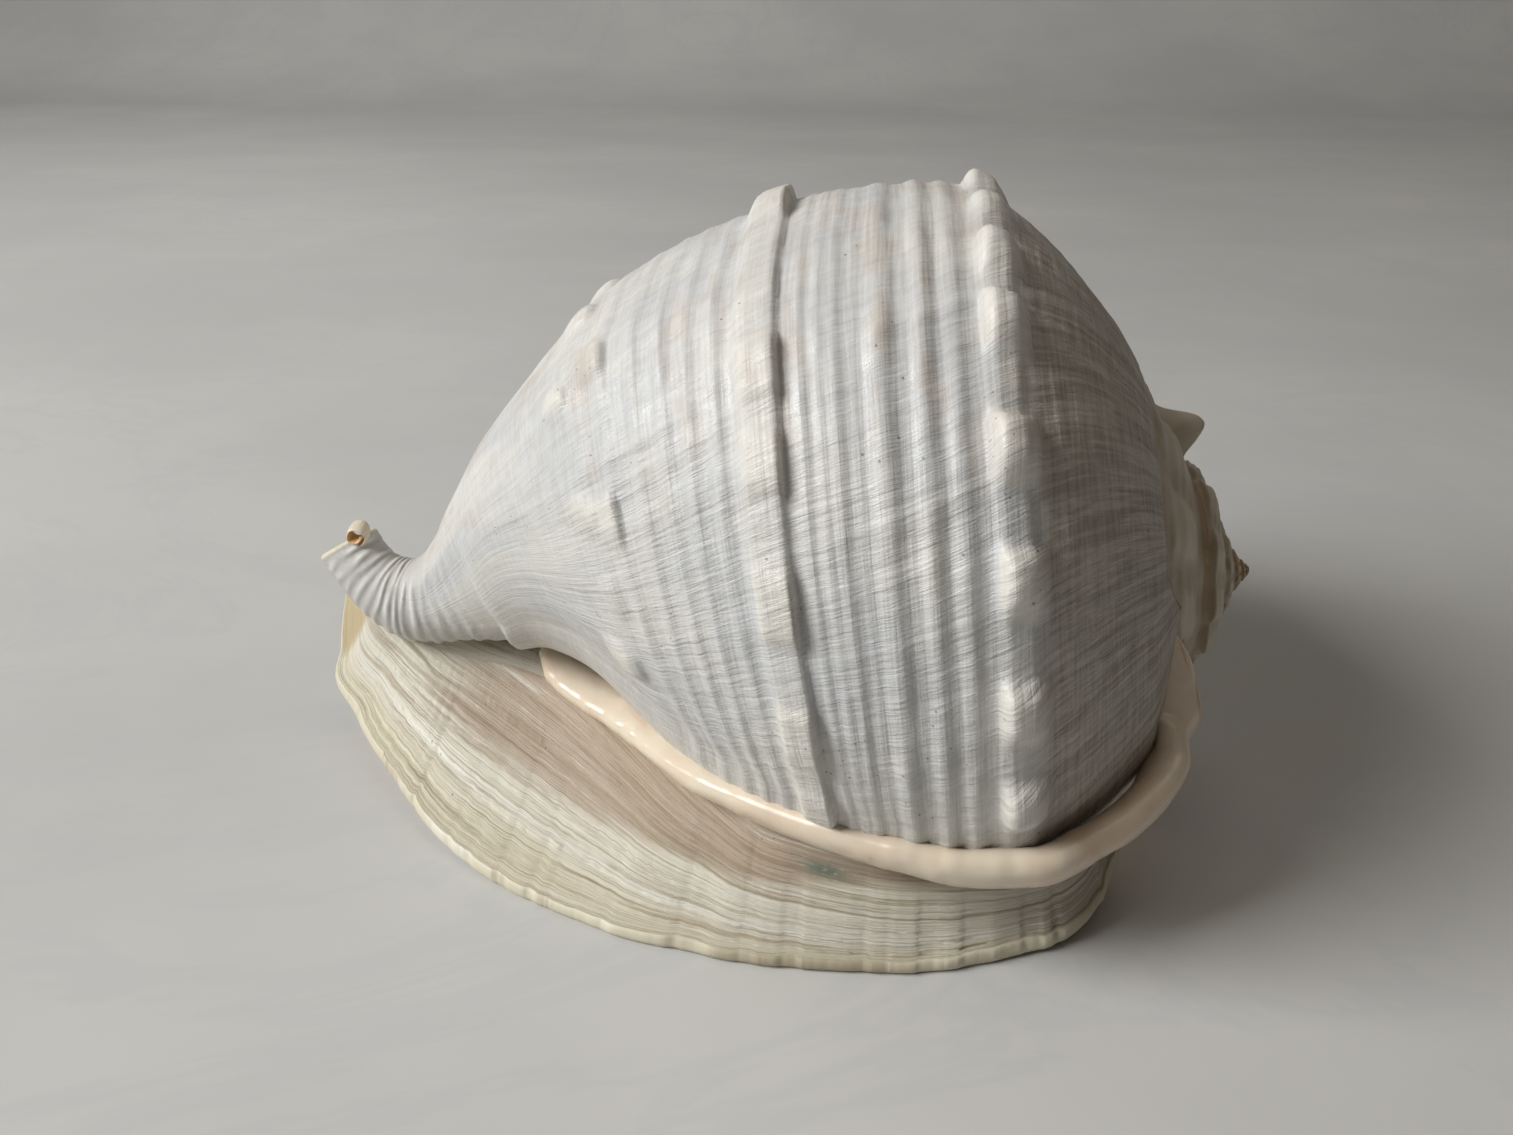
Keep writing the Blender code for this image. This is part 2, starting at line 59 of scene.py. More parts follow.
def smooth(x, at, value):
    """Curve through the points (at, value), cubic between them, which never swings past them."""
    at = np.asarray(at, float)
    value = np.asarray(value, float)
    if at[0] > at[-1]:
        at = at[::-1]
        value = value[::-1]
    step = np.diff(at)
    rise = np.diff(value) / step
    slope_in_shade = np.concatenate([rise[:1], np.zeros(len(at) - 2), rise[-1:]])
    same = rise[:-1] * rise[1:] > 0
    slope_in_shade[1:-1][same] = (2 * rise[:-1] * rise[1:])[same] / (rise[:-1] + rise[1:])[same]
    i = np.clip(np.searchsorted(at, x) - 1, 0, len(at) - 2)
    t = np.clip((x - at[i]) / step[i], 0, 1)
    return (value[i] * (1 + 2 * t) * (1 - t) ** 2 + slope_in_shade[i] * step[i] * t * (1 - t) ** 2
            + value[i + 1] * t**2 * (3 - 2 * t) + slope_in_shade[i + 1] * step[i] * t**2 * (t - 1))


def ease(t):
    """0 up to 1 with level ends: 3 t squared minus 2 t cubed."""
    t = np.clip(t, 0, 1)
    return t * t * (3 - 2 * t)


def bump(x):
    """1 at the middle and 0 from one half width out: one minus x squared, to the power 1.5."""
    return np.clip(1 - x * x, 0, 1) ** 1.5


def flat_bump(x):
    """Bump with a flat top and steep sides."""
    return np.clip(1.6 * (1 - np.abs(x) ** 3), 0, 1)


# %% [markdown]
# ## Irregularity
# Nothing on a grown shell repeats exactly. A value noise gives each form its small drift: random numbers on
# a lattice, made by a formula so that they are the same on each run, and blended smoothly in between.

# %% Irregularity


def hashed(i, j, seed):
    """Repeatable value from 0 to 1 for each lattice point: the fraction of a large sine."""
    return np.mod(np.sin(i * 12.9898 + j * 78.233 + seed * 37.719) * 43758.5453, 1.0)


def drift(x, y, seed=0):
    """Smooth noise from -1 to 1: lattice values at the four whole corners, blended with level ends."""
    i = np.floor(x)
    j = np.floor(y)
    a = ease(x - i)
    b = ease(y - j)
    low = hashed(i, j, seed) * (1 - a) + hashed(i + 1, j, seed) * a
    high = hashed(i, j + 1, seed) * (1 - a) + hashed(i + 1, j + 1, seed) * a
    return 2 * (low * (1 - b) + high * b) - 1


print("noise sample, which is the same on each run:", np.round(drift(np.arange(4) + 0.3, np.zeros(4)), 3))

# %% [markdown]
# ## From grid to mesh
# A grid of points becomes a closed skin of quads. Rows that form a loop are joined round, and each open end
# is closed by one face. The signed volume tells whether the faces point outwards, and they are turned if
# not. Beside its points, each piece carries measures of its own surface, such as the distance along the
# axis and the way round, in millimetres. The materials draw their patterns in these, so that a growth line
# follows the growth wherever the surface turns.

# %% From grid to mesh


def grid_faces(rows, columns, offset=0):
    """Quads between neighbouring rows of a grid whose columns run round in a loop, and one face at each end."""
    i, j = np.meshgrid(np.arange(rows - 1), np.arange(columns), indexing="ij")
    k = (j + 1) % columns
    quads = np.stack([i * columns + j, i * columns + k, (i + 1) * columns + k, (i + 1) * columns + j], -1)
    first = np.arange(columns)[::-1]
    last = (rows - 1) * columns + np.arange(columns)
    return quads.reshape(-1, 4) + offset, [first + offset, last + offset]


def signed_volume(points, quads, ends):
    """A sixth of the sum of a . (b x c) over all the triangles."""
    fans = [np.stack([np.full(len(e) - 2, e[0]), e[1:-1], e[2:]], -1) for e in ends]
    tri = np.concatenate([quads[:, [0, 1, 2]], quads[:, [0, 2, 3]]] + fans)
    a, b, c = (points[tri[:, n]] for n in range(3))
    return np.sum(a * np.cross(b, c)) / 6


def make_piece(name, grid, measures):
    """Closed piece from a grid of drawing points. measures is a dict of attribute name to values on the grid."""
    rows, columns = grid.shape[:2]
    points = (grid.reshape(-1, 3) + ORIGIN) * SIZE
    quads, ends = grid_faces(rows, columns)
    if signed_volume(points, quads, ends) < 0:
        quads = quads[:, ::-1]
        ends = [e[::-1] for e in ends]
    mesh = bpy.data.meshes.new(name)
    mesh.from_pydata(points.tolist(), [], quads.tolist() + [e.tolist() for e in ends])
    mesh.shade_smooth()
    for key, values in measures.items():
        flat = np.ascontiguousarray(values, dtype=np.float32)
        kind, slot = ("FLOAT_VECTOR", "vector") if flat.ndim == 3 else ("FLOAT", "value")
        mesh.attributes.new(key, kind, "POINT").data.foreach_set(slot, flat.ravel())
    piece = bpy.data.objects.new(name, mesh)
    bpy.context.scene.collection.objects.link(piece)
    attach(piece, "root")
    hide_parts("shell")
    print(name, "has", 2 * len(quads), "triangles in its sides")
    return piece


# %% [markdown]
# ## The last whorl: its smooth form
# The last whorl is about nine tenths of the shell. Over the top it is round about the axis, and its outline
# along the axis is a measured curve. Towards the front the axis itself bends upwards, into the canal. Each
# ring leans with that bend, so the ribs of the canal fan out as they do on the real neck. Underneath, the
# rings are flattened, because the shield and the lip have grown over them there.

# %% The last whorl's smooth form
PROFILE_AT = [-119, -116, -110, -104, -98, -93, -88, -80, -70, -61, -51, -42, -29,
              -16, -4, 9, 26, 42, 51, 57, 64.5, 72.6, 79.6, 86.8, 94.5, 99]
PROFILE_RADIUS = [8.8, 8.5, 8.9, 10.2, 12, 14.2, 17.3, 24, 31, 39, 50.5, 60, 69.5,
                  76.5, 81.5, 86, 89.5, 90.5, 90, 88, 83, 76, 68.3, 59.5, 47, 38]
CENTRE_AT = [-119, -116, -113, -110, -104, -98, -93, -88, -80, -70, -61, 99]
CENTRE_HEIGHT = [55.3, 52.6, 50.2, 47.6, 44.3, 42.3, 43.3, 47, 55, 64, 66, 66]
CENTRE_SIDE = [8, 5.6, 3.6, 2.2, 0.6, 0, 0, 0, 0, 0, 0, 0]
TILT_AT = [-119, -116, -110, -104, -98, -92, 99]
TILT_DEG = [62, 52, 38, 20, 4, 0, 0]
LEAN_AT = [-119, -110, -100, -90, 99]
LEAN_DEG = [14, 16, 9, 0, 0]
NARROW_AT = [-119, -75, -54, -47, -30, -11, 8, 26, 50, 99]
NARROW_SHARE = [0, 0, 0.02, 0.02, 0.01, 0, 0, 0.01, 0, 0.02]
SIDE_SHARE = 0.045
WAIST_SHARE = 0.019
VENTRAL_DEPTH = 52.0
AXIS_HEIGHT = 66.0
SHIELD_ANGLE = -34.0
LIP_ANGLE = 262.0
FOLD_AT = -77.5
FOLD_DROP = 3.0


def fold(u, phi):
    """How far the neck lies under the edge of the whorl that laps over it on the near side."""
    return FOLD_DROP * ease((FOLD_AT - u) / 1.6) * ease((u + 104) / 20) * ease((60 - phi) / 40)


def whorl_radius(u, phi):
    """Outline radius, less a share of the cosine at the sides and a little waist low down."""
    a = np.radians(phi)
    radius = smooth(u, PROFILE_AT, PROFILE_RADIUS)
    body = ease((u + 90) / 30)
    low = ease((20 - np.degrees(np.arcsin(np.sin(a)))) / 80)
    radius = radius * (1 - SIDE_SHARE * np.cos(a) * body - WAIST_SHARE * np.cos(a) ** 4 * body)
    radius = radius * (1 - smooth(u, NARROW_AT, NARROW_SHARE) * low * (0.75 + 0.25 * np.cos(a)))
    return radius - fold(u, phi)


def flattened(radius, phi, depth):
    """Radius limited by a level plane at depth under the centre: the 12th power mean rounds the corner."""
    down = np.maximum(-np.sin(np.radians(phi)), 0.02)
    return (radius**-12.0 + (depth / down) ** -12.0) ** (-1 / 12.0)


def section_axes(u):
    """Near-side and upward directions of the ring at u: tipped towards the apex, then leaned to the far side."""
    tilt = np.radians(smooth(u, TILT_AT, TILT_DEG))
    lean = np.radians(smooth(u, LEAN_AT, LEAN_DEG))
    near = np.stack([0 * u, -np.cos(lean), np.sin(lean)], axis=-1)
    up = np.stack([np.sin(tilt), np.cos(tilt) * np.sin(lean), np.cos(tilt) * np.cos(lean)], axis=-1)
    return near, up


def place(u, phi, radius, moved):
    """Point at radius from the bent axis: centre plus cosine times near side plus sine times up."""
    a = np.radians(phi)
    near, up = section_axes(u)
    centre = np.stack([u + moved, smooth(u, CENTRE_AT, CENTRE_SIDE), smooth(u, CENTRE_AT, CENTRE_HEIGHT)], axis=-1)
    return centre + (radius * np.cos(a))[..., None] * near + (radius * np.sin(a))[..., None] * up


# %% [markdown]
# ## Rows, cords and knobs
# Three rows of knobs and many cords run round the whorl. The shoulder row has rounded knobs, steep towards
# the spire. The middle row is a flat-topped rib of low blocks. The front row shows only a few blunt knobs.
# All of them turn towards the spire as they dive under the shield on the near side, which is a shift along
# the axis that grows as the angle falls.

# %% Rows, cords and knobs
DIVE_AT = [-119, -98, -76, -40, 4, 54, 82, 96]
DIVE_SHIFT = [0, 0, 14, 24, 17, 10.5, 10.5, 6]
DIVE_FROM = 65.0
DIVE_TO = -20.0
ROW_RISE = -4.0
KNOB_STEP = 16.4
KNOB_START = 8.0
SHOULDER_KNOBS = [(-24, 2.0), (-6.5, 3.6), (9.5, 3.7), (27.5, 4.1), (44.5, 4.6), (62.5, 3.6), (75, 3.3), (88.5, 2.0),
                  (104, 2.8), (120, 3.6), (137, 3.9), (153, 3.6), (170, 3.2), (186, 2.6), (203, 3.4), (219, 3.6),
                  (236, 3.6), (251, 2.8)]
MIDDLE_AT = 4.3
MIDDLE_BLOCKS = [(-19, 4.5, 1.0), (-4, 6.5, 1.3), (17, 6.5, 1.2), (37, 5.5, 1.3), (51, 6, 1.5), (66, 4, 0.5),
                 (97, 13, 2.3), (122, 8, 1.7), (146, 9, 1.9), (171, 8, 1.6), (196, 9, 1.8), (221, 8, 1.5), (243, 8, 1.4)]
FRONT_KNOBS = [(-42.5, -4, 5.5, 6, 1.7), (-37.5, 13, 4, 5, 0.7), (-40, 30, 4.5, 5, 1.3), (-34, 29, 4.5, 6.5, 1.5),
               (-43.5, 56, 4, 5, 1.5), (-34, 62, 4.5, 6, 1.5), (-41, 82, 5, 5, 1.6), (-40, 106, 5, 6, 1.8),
               (-40, 132, 5, 6, 1.4), (-40, 160, 5, 7, 1.4), (-40, 190, 5, 6, 1.2), (-40, 220, 5, 6, 1.0)]
CORDS = [(44.3, 2.7, 1.4), (37.7, 3.0, 1.8), (29.2, 3.7, 2.1), (20, 2.0, 1.0), (17, 2.0, 1.1), (13.2, 1.7, 0.9),
         (-5.2, 2.3, 1.0), (-11.3, 2.4, 1.1), (-17.2, 2.4, 1.1), (-23.8, 2.5, 1.1), (-31.4, 2.6, 1.3),
         (-39.5, 4.0, 0.8), (-47, 2.0, 0.35), (-52.5, 2.0, 0.3), (-58, 2.0, 0.25)]
THREADS = [(34, 1.0, 0.3), (24.4, 1.1, 0.35), (-8.3, 0.9, 0.25), (-14.3, 0.9, 0.25), (-20.6, 0.9, 0.3), (-27.6, 1.2, 0.35),
           (65, 1.6, 0.5), (69.4, 1.4, 0.35), (73, 1.3, 0.3), (76.8, 1.4, 0.35), (81, 1.3, 0.25), (85.6, 2.0, 0.5),
           (90.5, 1.5, 0.3)]


def shift(u, phi):
    """Distance that a row at u has moved along the axis at the angle phi."""
    dive = smooth(u, DIVE_AT, DIVE_SHIFT)
    near = dive * np.clip((DIVE_FROM - phi) / (DIVE_FROM - DIVE_TO), 0, 1) ** 1.3
    rise = ease((u + 75) / 20) * ROW_RISE * (1 - ease((u - 60) / 39))
    moved = near + rise * phi / LIP_ANGLE
    back = rise + (dive - rise) * (phi - LIP_ANGLE) / 73
    return np.where(phi > LIP_ANGLE, back, moved)


def shown(phi):
    """1 where the whorl is open to view, 0 under the shield and the lip."""
    return ease((phi - SHIELD_ANGLE) / 8) * ease((LIP_ANGLE - phi) / 10)


def drop_knob(phi, top, length):
    """Knob along the angle: a steep face at top, full for half its length, then fading down."""
    down = top - phi
    return ease(down / 2.4) * ease((length - down) / (0.5 * length))


def plateau(u, low, high, soft, steep):
    """1 between low and high: a soft slope on the canal side and a steep one on the apex side."""
    return ease((u - low) / soft + 0.5) * ease((high - u) / steep + 0.5)


def rows_and_knobs(u, phi):
    """Sum of ridges over u, each a bump times its height, with the knobs set on their rows."""
    wander = 0.4 * drift(phi / 11, u / 30, 3) + 0.15 * drift(phi / 3.1, u / 12, 4)
    v = u + wander
    row = plateau(v, 50.3, 57.4, 4.0, 2.0)
    total = row * (0.9 + 0.25 * drift(phi / 3, v / 3, 7))
    for top, high in SHOULDER_KNOBS:
        rounded = np.clip(1 - ((v - 54.9) / 5.3) ** 4, 0, 1) ** 0.8
        total = total + 1.12 * high * rounded * drop_knob(phi, top, 11.5)
    row = plateau(v, -0.2, 8.5, 2.6, 1.6)
    blocks = 0 * v
    for angle, half, high in MIDDLE_BLOCKS:
        blocks = np.maximum(blocks, high * ease(2.4 * (1 - np.abs(phi - angle) / half)))
    total = total + row * (1.5 + 1.15 * blocks + 0.22 * drift(phi / 1.9, 0 * v, 8))
    for at, angle, half, span, high in FRONT_KNOBS:
        total = total + 1.5 * high * bump(np.hypot((v - at) / half, (phi - angle) / span)) ** 0.6
    low_cord = 0.56 - 0.2 * ease((phi - 62) / 30)
    for n, (at, half, high) in enumerate(CORDS + THREADS):
        lively = 1 + 0.3 * drift(phi / 8, n + 0 * v, 5) + 0.2 * drift(phi / 2.2, n + 0 * v, 6)
        total = total + low_cord * high * lively * bump((v - at) / half)
    return total * shown(phi)


# %% [markdown]
# ## Growth pauses and the canal's ribs
# Now and then the snail stopped growing, and each pause left a low wrinkle from the canal to the spire, a
# little slanted across the rows. On the neck of the canal, fine ribs lie side by side round the bend, and
# between the front row and the neck a few creases mark where the neck tucks under the whorl.

# %% Growth pauses and the canal's ribs
PAUSES = [(20, 0.35), (47, 0.5), (66, 0.3), (101, 0.4), (131, 0.35), (158, 0.45), (187, 0.3), (214, 0.5), (239, 0.4)]
CANAL_RIBS = np.linspace(-116.5, -82.5, 15)


def growth_angle(u, phi):
    """Angle at which the growth line through (u, phi) crosses u = 0."""
    return phi - 0.28 * u - 3.0 * drift(u / 38, 0 * phi, 11)


def wrinkles(u, phi):
    """Low folds along growth lines: slow ones everywhere, and a sharper one at each pause."""
    line = growth_angle(u, phi)
    total = 0.22 * drift(line / 4.2, u / 45, 12) + 0.1 * drift(line / 1.9, u / 25, 13)
    for angle, high in PAUSES:
        broken = 0.6 + 0.5 * drift(u / 17, angle + 0 * phi, 14)
        total = total + high * broken * bump((line - angle) / 2.2)
    return total * shown(phi) * ease((u + 74) / 14)


def canal_ribs(u, phi):
    """Sharp little ribs on the rings of the neck, fading where the neck widens."""
    a = np.radians(phi)
    total = 0 * u
    for n, at in enumerate(CANAL_RIBS):
        bend = at + 0.9 * np.cos(a) * ease((at + 105) / 25)
        size = 0.42 + 0.3 * drift(n + 0 * u, phi / 30, 21)
        off = u - bend - 0.5 * drift(n + 0 * u, phi / 40, 22)
        total = total + 0.95 * size * bump(off / (1.05 + 0.2 * np.sin(n * 2.3)))
    near = 0.45 + 0.55 * ease((np.cos(a) + 0.4) / 0.8)
    return total * near * ease((-79.5 - u) / 4)


def whorl_outside(u, phi):
    """Outside of the last whorl: flattened smooth form, plus all the relief."""
    high = rows_and_knobs(u, phi) + wrinkles(u, phi) + canal_ribs(u, phi)
    radius = flattened(whorl_radius(u, phi) + high, phi, VENTRAL_DEPTH)
    return place(u, phi, radius, shift(u, phi)), high


# %% [markdown]
# ## One skin for outside, rim and chamber
# The wall is 3 to 5 mm thick, and the way in is a long slit, open from the canal's tip to the back of the
# lip. So the skin is a loop: along the outside from the spire to the tip of the canal, over a rounded rim,
# and back along the chamber inside. That loop is swept round the axis and stops at either side of the slit.
# A solid body would have been simpler, but then no one could look into the slit from below.

# %% The last whorl
TIP_AT = -118.4
SLIT_LOW = -94.0
SLIT_HIGH = 249.0
RIM_STEPS = 7


def whorl_grid():
    """Grid of the loop along the axis (rows) swept round it (columns), with its surface measures."""
    u_out = np.concatenate([np.linspace(91, 62, 32)[:-1], np.linspace(62, -46, 128)[:-1],
                            np.linspace(-46, -79, 38)[:-1], np.linspace(-79, TIP_AT, 92)])
    angles = np.concatenate([np.linspace(SLIT_LOW, -36, 18)[:-1], np.linspace(-36, SLIT_HIGH, 262)])
    u, phi = np.meshgrid(u_out, angles, indexing="ij")
    u = u + 8 * ease((25 - phi) / 20) * np.clip((u - 62) / 29, 0, 1)
    outside, high = whorl_outside(u, phi)

    k = np.linspace(0, 1, RIM_STEPS + 2)[1:-1]
    k, phi_rim = np.meshgrid(k, angles, indexing="ij")
    tip = np.full_like(k, TIP_AT)
    wall = 2.6
    middle = whorl_radius(tip, phi_rim) - wall / 2
    near, up = section_axes(tip)
    bulge = 1.3 * np.sin(np.pi * k)[..., None] * np.cross(near, up)
    rim = place(tip, phi_rim, middle + wall / 2 * np.cos(np.pi * k), 0 * tip) + bulge

    u_in = np.concatenate([np.linspace(TIP_AT, -66, 16)[:-1], np.linspace(-66, 88, 22)])
    u_in, phi_in = np.meshgrid(u_in, angles, indexing="ij")
    thick = 2.6 + 2.4 * ease((u_in + 108) / 34)
    inner = np.maximum(whorl_radius(u_in, phi_in) - thick, 3)
    inside = place(u_in, phi_in, flattened(inner, phi_in, 44.5), shift(u_in, phi_in))

    grid = np.concatenate([outside, rim, inside])
    along = np.concatenate([u, tip, u_in])
    turn = np.concatenate([phi, phi_rim, phi_in])
    arc = turn * 1.45
    relief = np.concatenate([high, 0 * k, 0 * u_in])
    indoors = np.concatenate([0 * u, k, 1 + 0 * u_in])
    growth = np.stack([along, arc, growth_angle(along, turn) * 1.45], axis=-1)
    measures = {"growth": growth, "relief": relief, "indoors": indoors}
    return grid.transpose(1, 0, 2), {key: np.swapaxes(v, 0, 1) for key, v in measures.items()}


grid, measures = whorl_grid()
last_whorl = make_piece("last_whorl", grid, measures)

# %% [markdown]
# ## The curled rim of the canal
# At the very tip the thin rim has grown over into a small roll, orange inside. It is a strip bent into a
# spiral whose radius shrinks as it turns, with a rounded section, set on the upper edge of the mouth.

# %% The curled rim
CURL_AT = (-112.8, 2.0, 61.4)
CURL_RADIUS = 3.3
CURL_TURNS = 1.15
CURL_HALF_WIDTH = 2.7
CURL_THICK = 0.55


def curl_grid():
    """Spiral path in the plane of the mouth's edge, with an oval section: wide across and thin outwards."""
    k, a = np.meshgrid(np.linspace(0, 1, 90), np.linspace(0, 2 * np.pi, 24, endpoint=False), indexing="ij")
    turn = -1.2 + 2 * np.pi * CURL_TURNS * k
    wide = CURL_HALF_WIDTH * (0.55 + 0.45 * ease(k / 0.3)) * (1 - 0.35 * k)
    spiral = CURL_RADIUS * (1 - 0.5 * k) + CURL_THICK * np.sin(a) + 0.15 * drift(k * 9, 0 * k, 71)
    x = CURL_AT[0] + spiral * np.cos(turn) * 0.95
    y = CURL_AT[1] + wide * np.cos(a) + 0.5 * np.sin(turn)
    z = CURL_AT[2] + spiral * np.sin(turn) * 0.8 + 0.25 * (y - CURL_AT[1])
    inner = 0.5 - 0.5 * np.sin(a)
    return np.stack([x, y, z], axis=-1), {"growth": np.stack([k * 20, wide * np.cos(a), 0 * k], -1), "inner": inner}


grid, measures = curl_grid()
curl = make_piece("canal_curl", grid, measures)

# %% [markdown]
# ## The spire
# The older turns show as a low cone at the back, worn and stained tan. A groove winds up it as a logarithmic
# spiral, because each turn is about twice as wide as the one before, and each turn has a shoulder with
# small knobs. One long spine points backwards from the turn beside the last whorl.

# %% The spire
SPIRE_AT = [80, 88, 92, 94.5, 98, 103, 108, 112.5, 116, 119, 121.5, 124, 127.5]
SPIRE_RADIUS = [66, 56.7, 50.4, 46, 39.4, 33.8, 28, 23, 18, 12.5, 8, 4.4, 0.9]
SPIRE_MIDDLE = [66, 66, 66, 65.4, 63.8, 63.3, 62.8, 62.3, 62, 62, 62.3, 63, 64]
SPIRE_TIP = 128.0
SPIRE_SUTURE = 16.5
SPIRE_GROWTH = 1.9
SPIRE_STEP = 2.1
SPINE = (102.6, 97.0, 8.3)
SPIRE_KNOBS = 11


def spire_grid():
    """Cone outline plus a saw of the spiral's turn number, knobs on each shoulder, and the spine."""
    x, phi = np.meshgrid(np.linspace(80, 127.4, 190), np.linspace(0, 360, 300, endpoint=False), indexing="ij")
    cone = smooth(x, SPIRE_AT, SPIRE_RADIUS)
    turn = np.log(np.maximum(SPIRE_TIP - x, 0.3) / SPIRE_SUTURE) / np.log(SPIRE_GROWTH) - phi / 360
    f = turn - np.floor(turn)
    swell = ease(f / 0.5) * ease((1.0 - f) / 0.2)
    off = (phi - KNOB_START) * SPIRE_KNOBS / 360
    knobs = bump((f - 0.62) / 0.36) * bump((off - np.round(off)) * 2.2)
    knobs = 1.5 * knobs
    size = SPIRE_STEP * np.minimum(1, cone / 22)
    cords = 0.22 * np.cos(2 * np.pi * f * 6) * ease((cone - 4) / 10)
    worn = 0.8 * drift(phi / 13, x / 4, 31) + 0.5 * drift(phi / 5, x / 2.2, 32)
    carved = size * (swell - 0.4 + knobs) + cords + worn * np.minimum(1, cone / 15)
    radius = cone * (1 - SIDE_SHARE * np.cos(np.radians(phi)) * ease((103 - x) / 9)) + carved * ease((x - 91) / 4)
    turned = np.where(phi > LIP_ANGLE, phi - 360, phi)
    under = x - shift(x, turned)
    cover = flattened(whorl_radius(under, turned) - 1.2, turned, VENTRAL_DEPTH - 2)
    radius = np.minimum(radius, cover + 40 * ease((x - 90) / 12))
    at, angle, long = SPINE
    away = (phi - angle + 180) % 360 - 180
    horn = (bump((x - at) / 4.2) * bump(away / 8)) ** 1.3
    radius = radius + 3.0 * horn
    a = np.radians(phi)
    middle = smooth(x, SPIRE_AT, SPIRE_MIDDLE)
    points = np.stack([x + long * horn, -radius * np.cos(a), middle + radius * np.sin(a)], axis=-1)
    return points, {"growth": np.stack([x, phi * 0.6, turn * 20], -1), "relief": swell + knobs, "groove": 1 - swell}


grid, measures = spire_grid()
spire = make_piece("spire", grid, measures)

# %% [markdown]
# ## The shield
# The parietal shield is a broad plate of callus spread under the whorl, and the shell lies on its rim. Its
# section changes along its edge, so the section is a function of t, the way along the edge, and v, the way
# round the section: out along the underside, round the rim, up over the top, and down the aperture's wall.
# On top, each earlier edge of the plate is left as a low ledge, and the rim has small chips. Both are
# displacements, because they show in outline, while the hair-fine lines between them are left to the
# material.

# %% The shield's outlines
SHIELD_T = [0, 0.06, 0.12, 0.18, 0.25, 0.32, 0.40, 0.48, 0.56, 0.62, 0.68, 0.75, 0.82, 0.90, 0.96, 1]
SHIELD_OUT = [[97, 100, 98, 92, 79, 64, 41, 14, -19, -37, -57, -77, -95, -117, -127.8, -126],
              [8, -15, -38, -56, -72, -78.5, -84.5, -85.5, -81.5, -75.5, -67, -54, -36.5, -12, 4, 14],
              [12, 12, 8, 5, 2, 1, 0, 0, 0, 0, 1, 3, 6, 10, 14, 34]]
SHIELD_TOP = [[92, 93, 92, 88, 76, 63, 41, 15, -12, -32, -52, -72, -88, -102, -111, -114],
              [5, -13, -30, -47, -64, -70, -70, -61, -42, -26, -14, -8, -6, -3, 0, 3],
              [18, 20, 22, 25, 27, 27.5, 27, 26, 25, 25, 25.5, 27, 29, 33, 38, 44]]
SHIELD_SLIT = [[80, 76, 71, 65, 56, 46, 33, 20, 5, -8, -22, -40, -62, -88, -106, -112],
               [20, 12, 7, 5, 4, 4, 4, 4, 3, 2, 1, 1, 2, 4, 6, 8],
               [0, 0, 0, 0, 0, 0, 0, 0, 0, 0, 0, 2, 6, 14, 22, 30]]
SHIELD_WALL = [20, 20, 20, 20, 20, 20, 20, 20, 20, 21, 24, 28, 32, 36, 40, 45]
SHIELD_EDGE = 3.2
RIM_ROUND = 1.3
FOLD_COUNT = 11
FOLD_DEPTH = 1.6

# %% The shield's section


def shield_ledges(back, along):
    """Saw-toothed ledges at uneven distances from the rim: each rises inwards slowly and drops outwards."""
    wavy = back + 1.1 * drift(along / 26, back / 9, 41) + 0.3 * drift(along / 6, back / 4, 42)
    coarse = wavy / 5.3 + 0.35 * np.sin(wavy / 7)
    fine = wavy / 2.1
    saw = 1.0 * (coarse - np.floor(coarse)) ** 1.5 + 0.42 * (fine - np.floor(fine))
    return -saw * (0.55 + 0.45 * drift(along / 40, back / 12, 43)) * ease(back / 2) * (1 - 0.55 * ease(back / 40))


def shield_chips(along):
    """Depth of the chips in the rim: noise above a threshold, so that sound edge lies between them."""
    big = np.maximum(drift(along / 11, 0 * along, 44) - 0.15, 0)
    small = np.maximum(drift(along / 2.6, 0 * along, 45), 0)
    return 2.0 * big + 0.7 * small


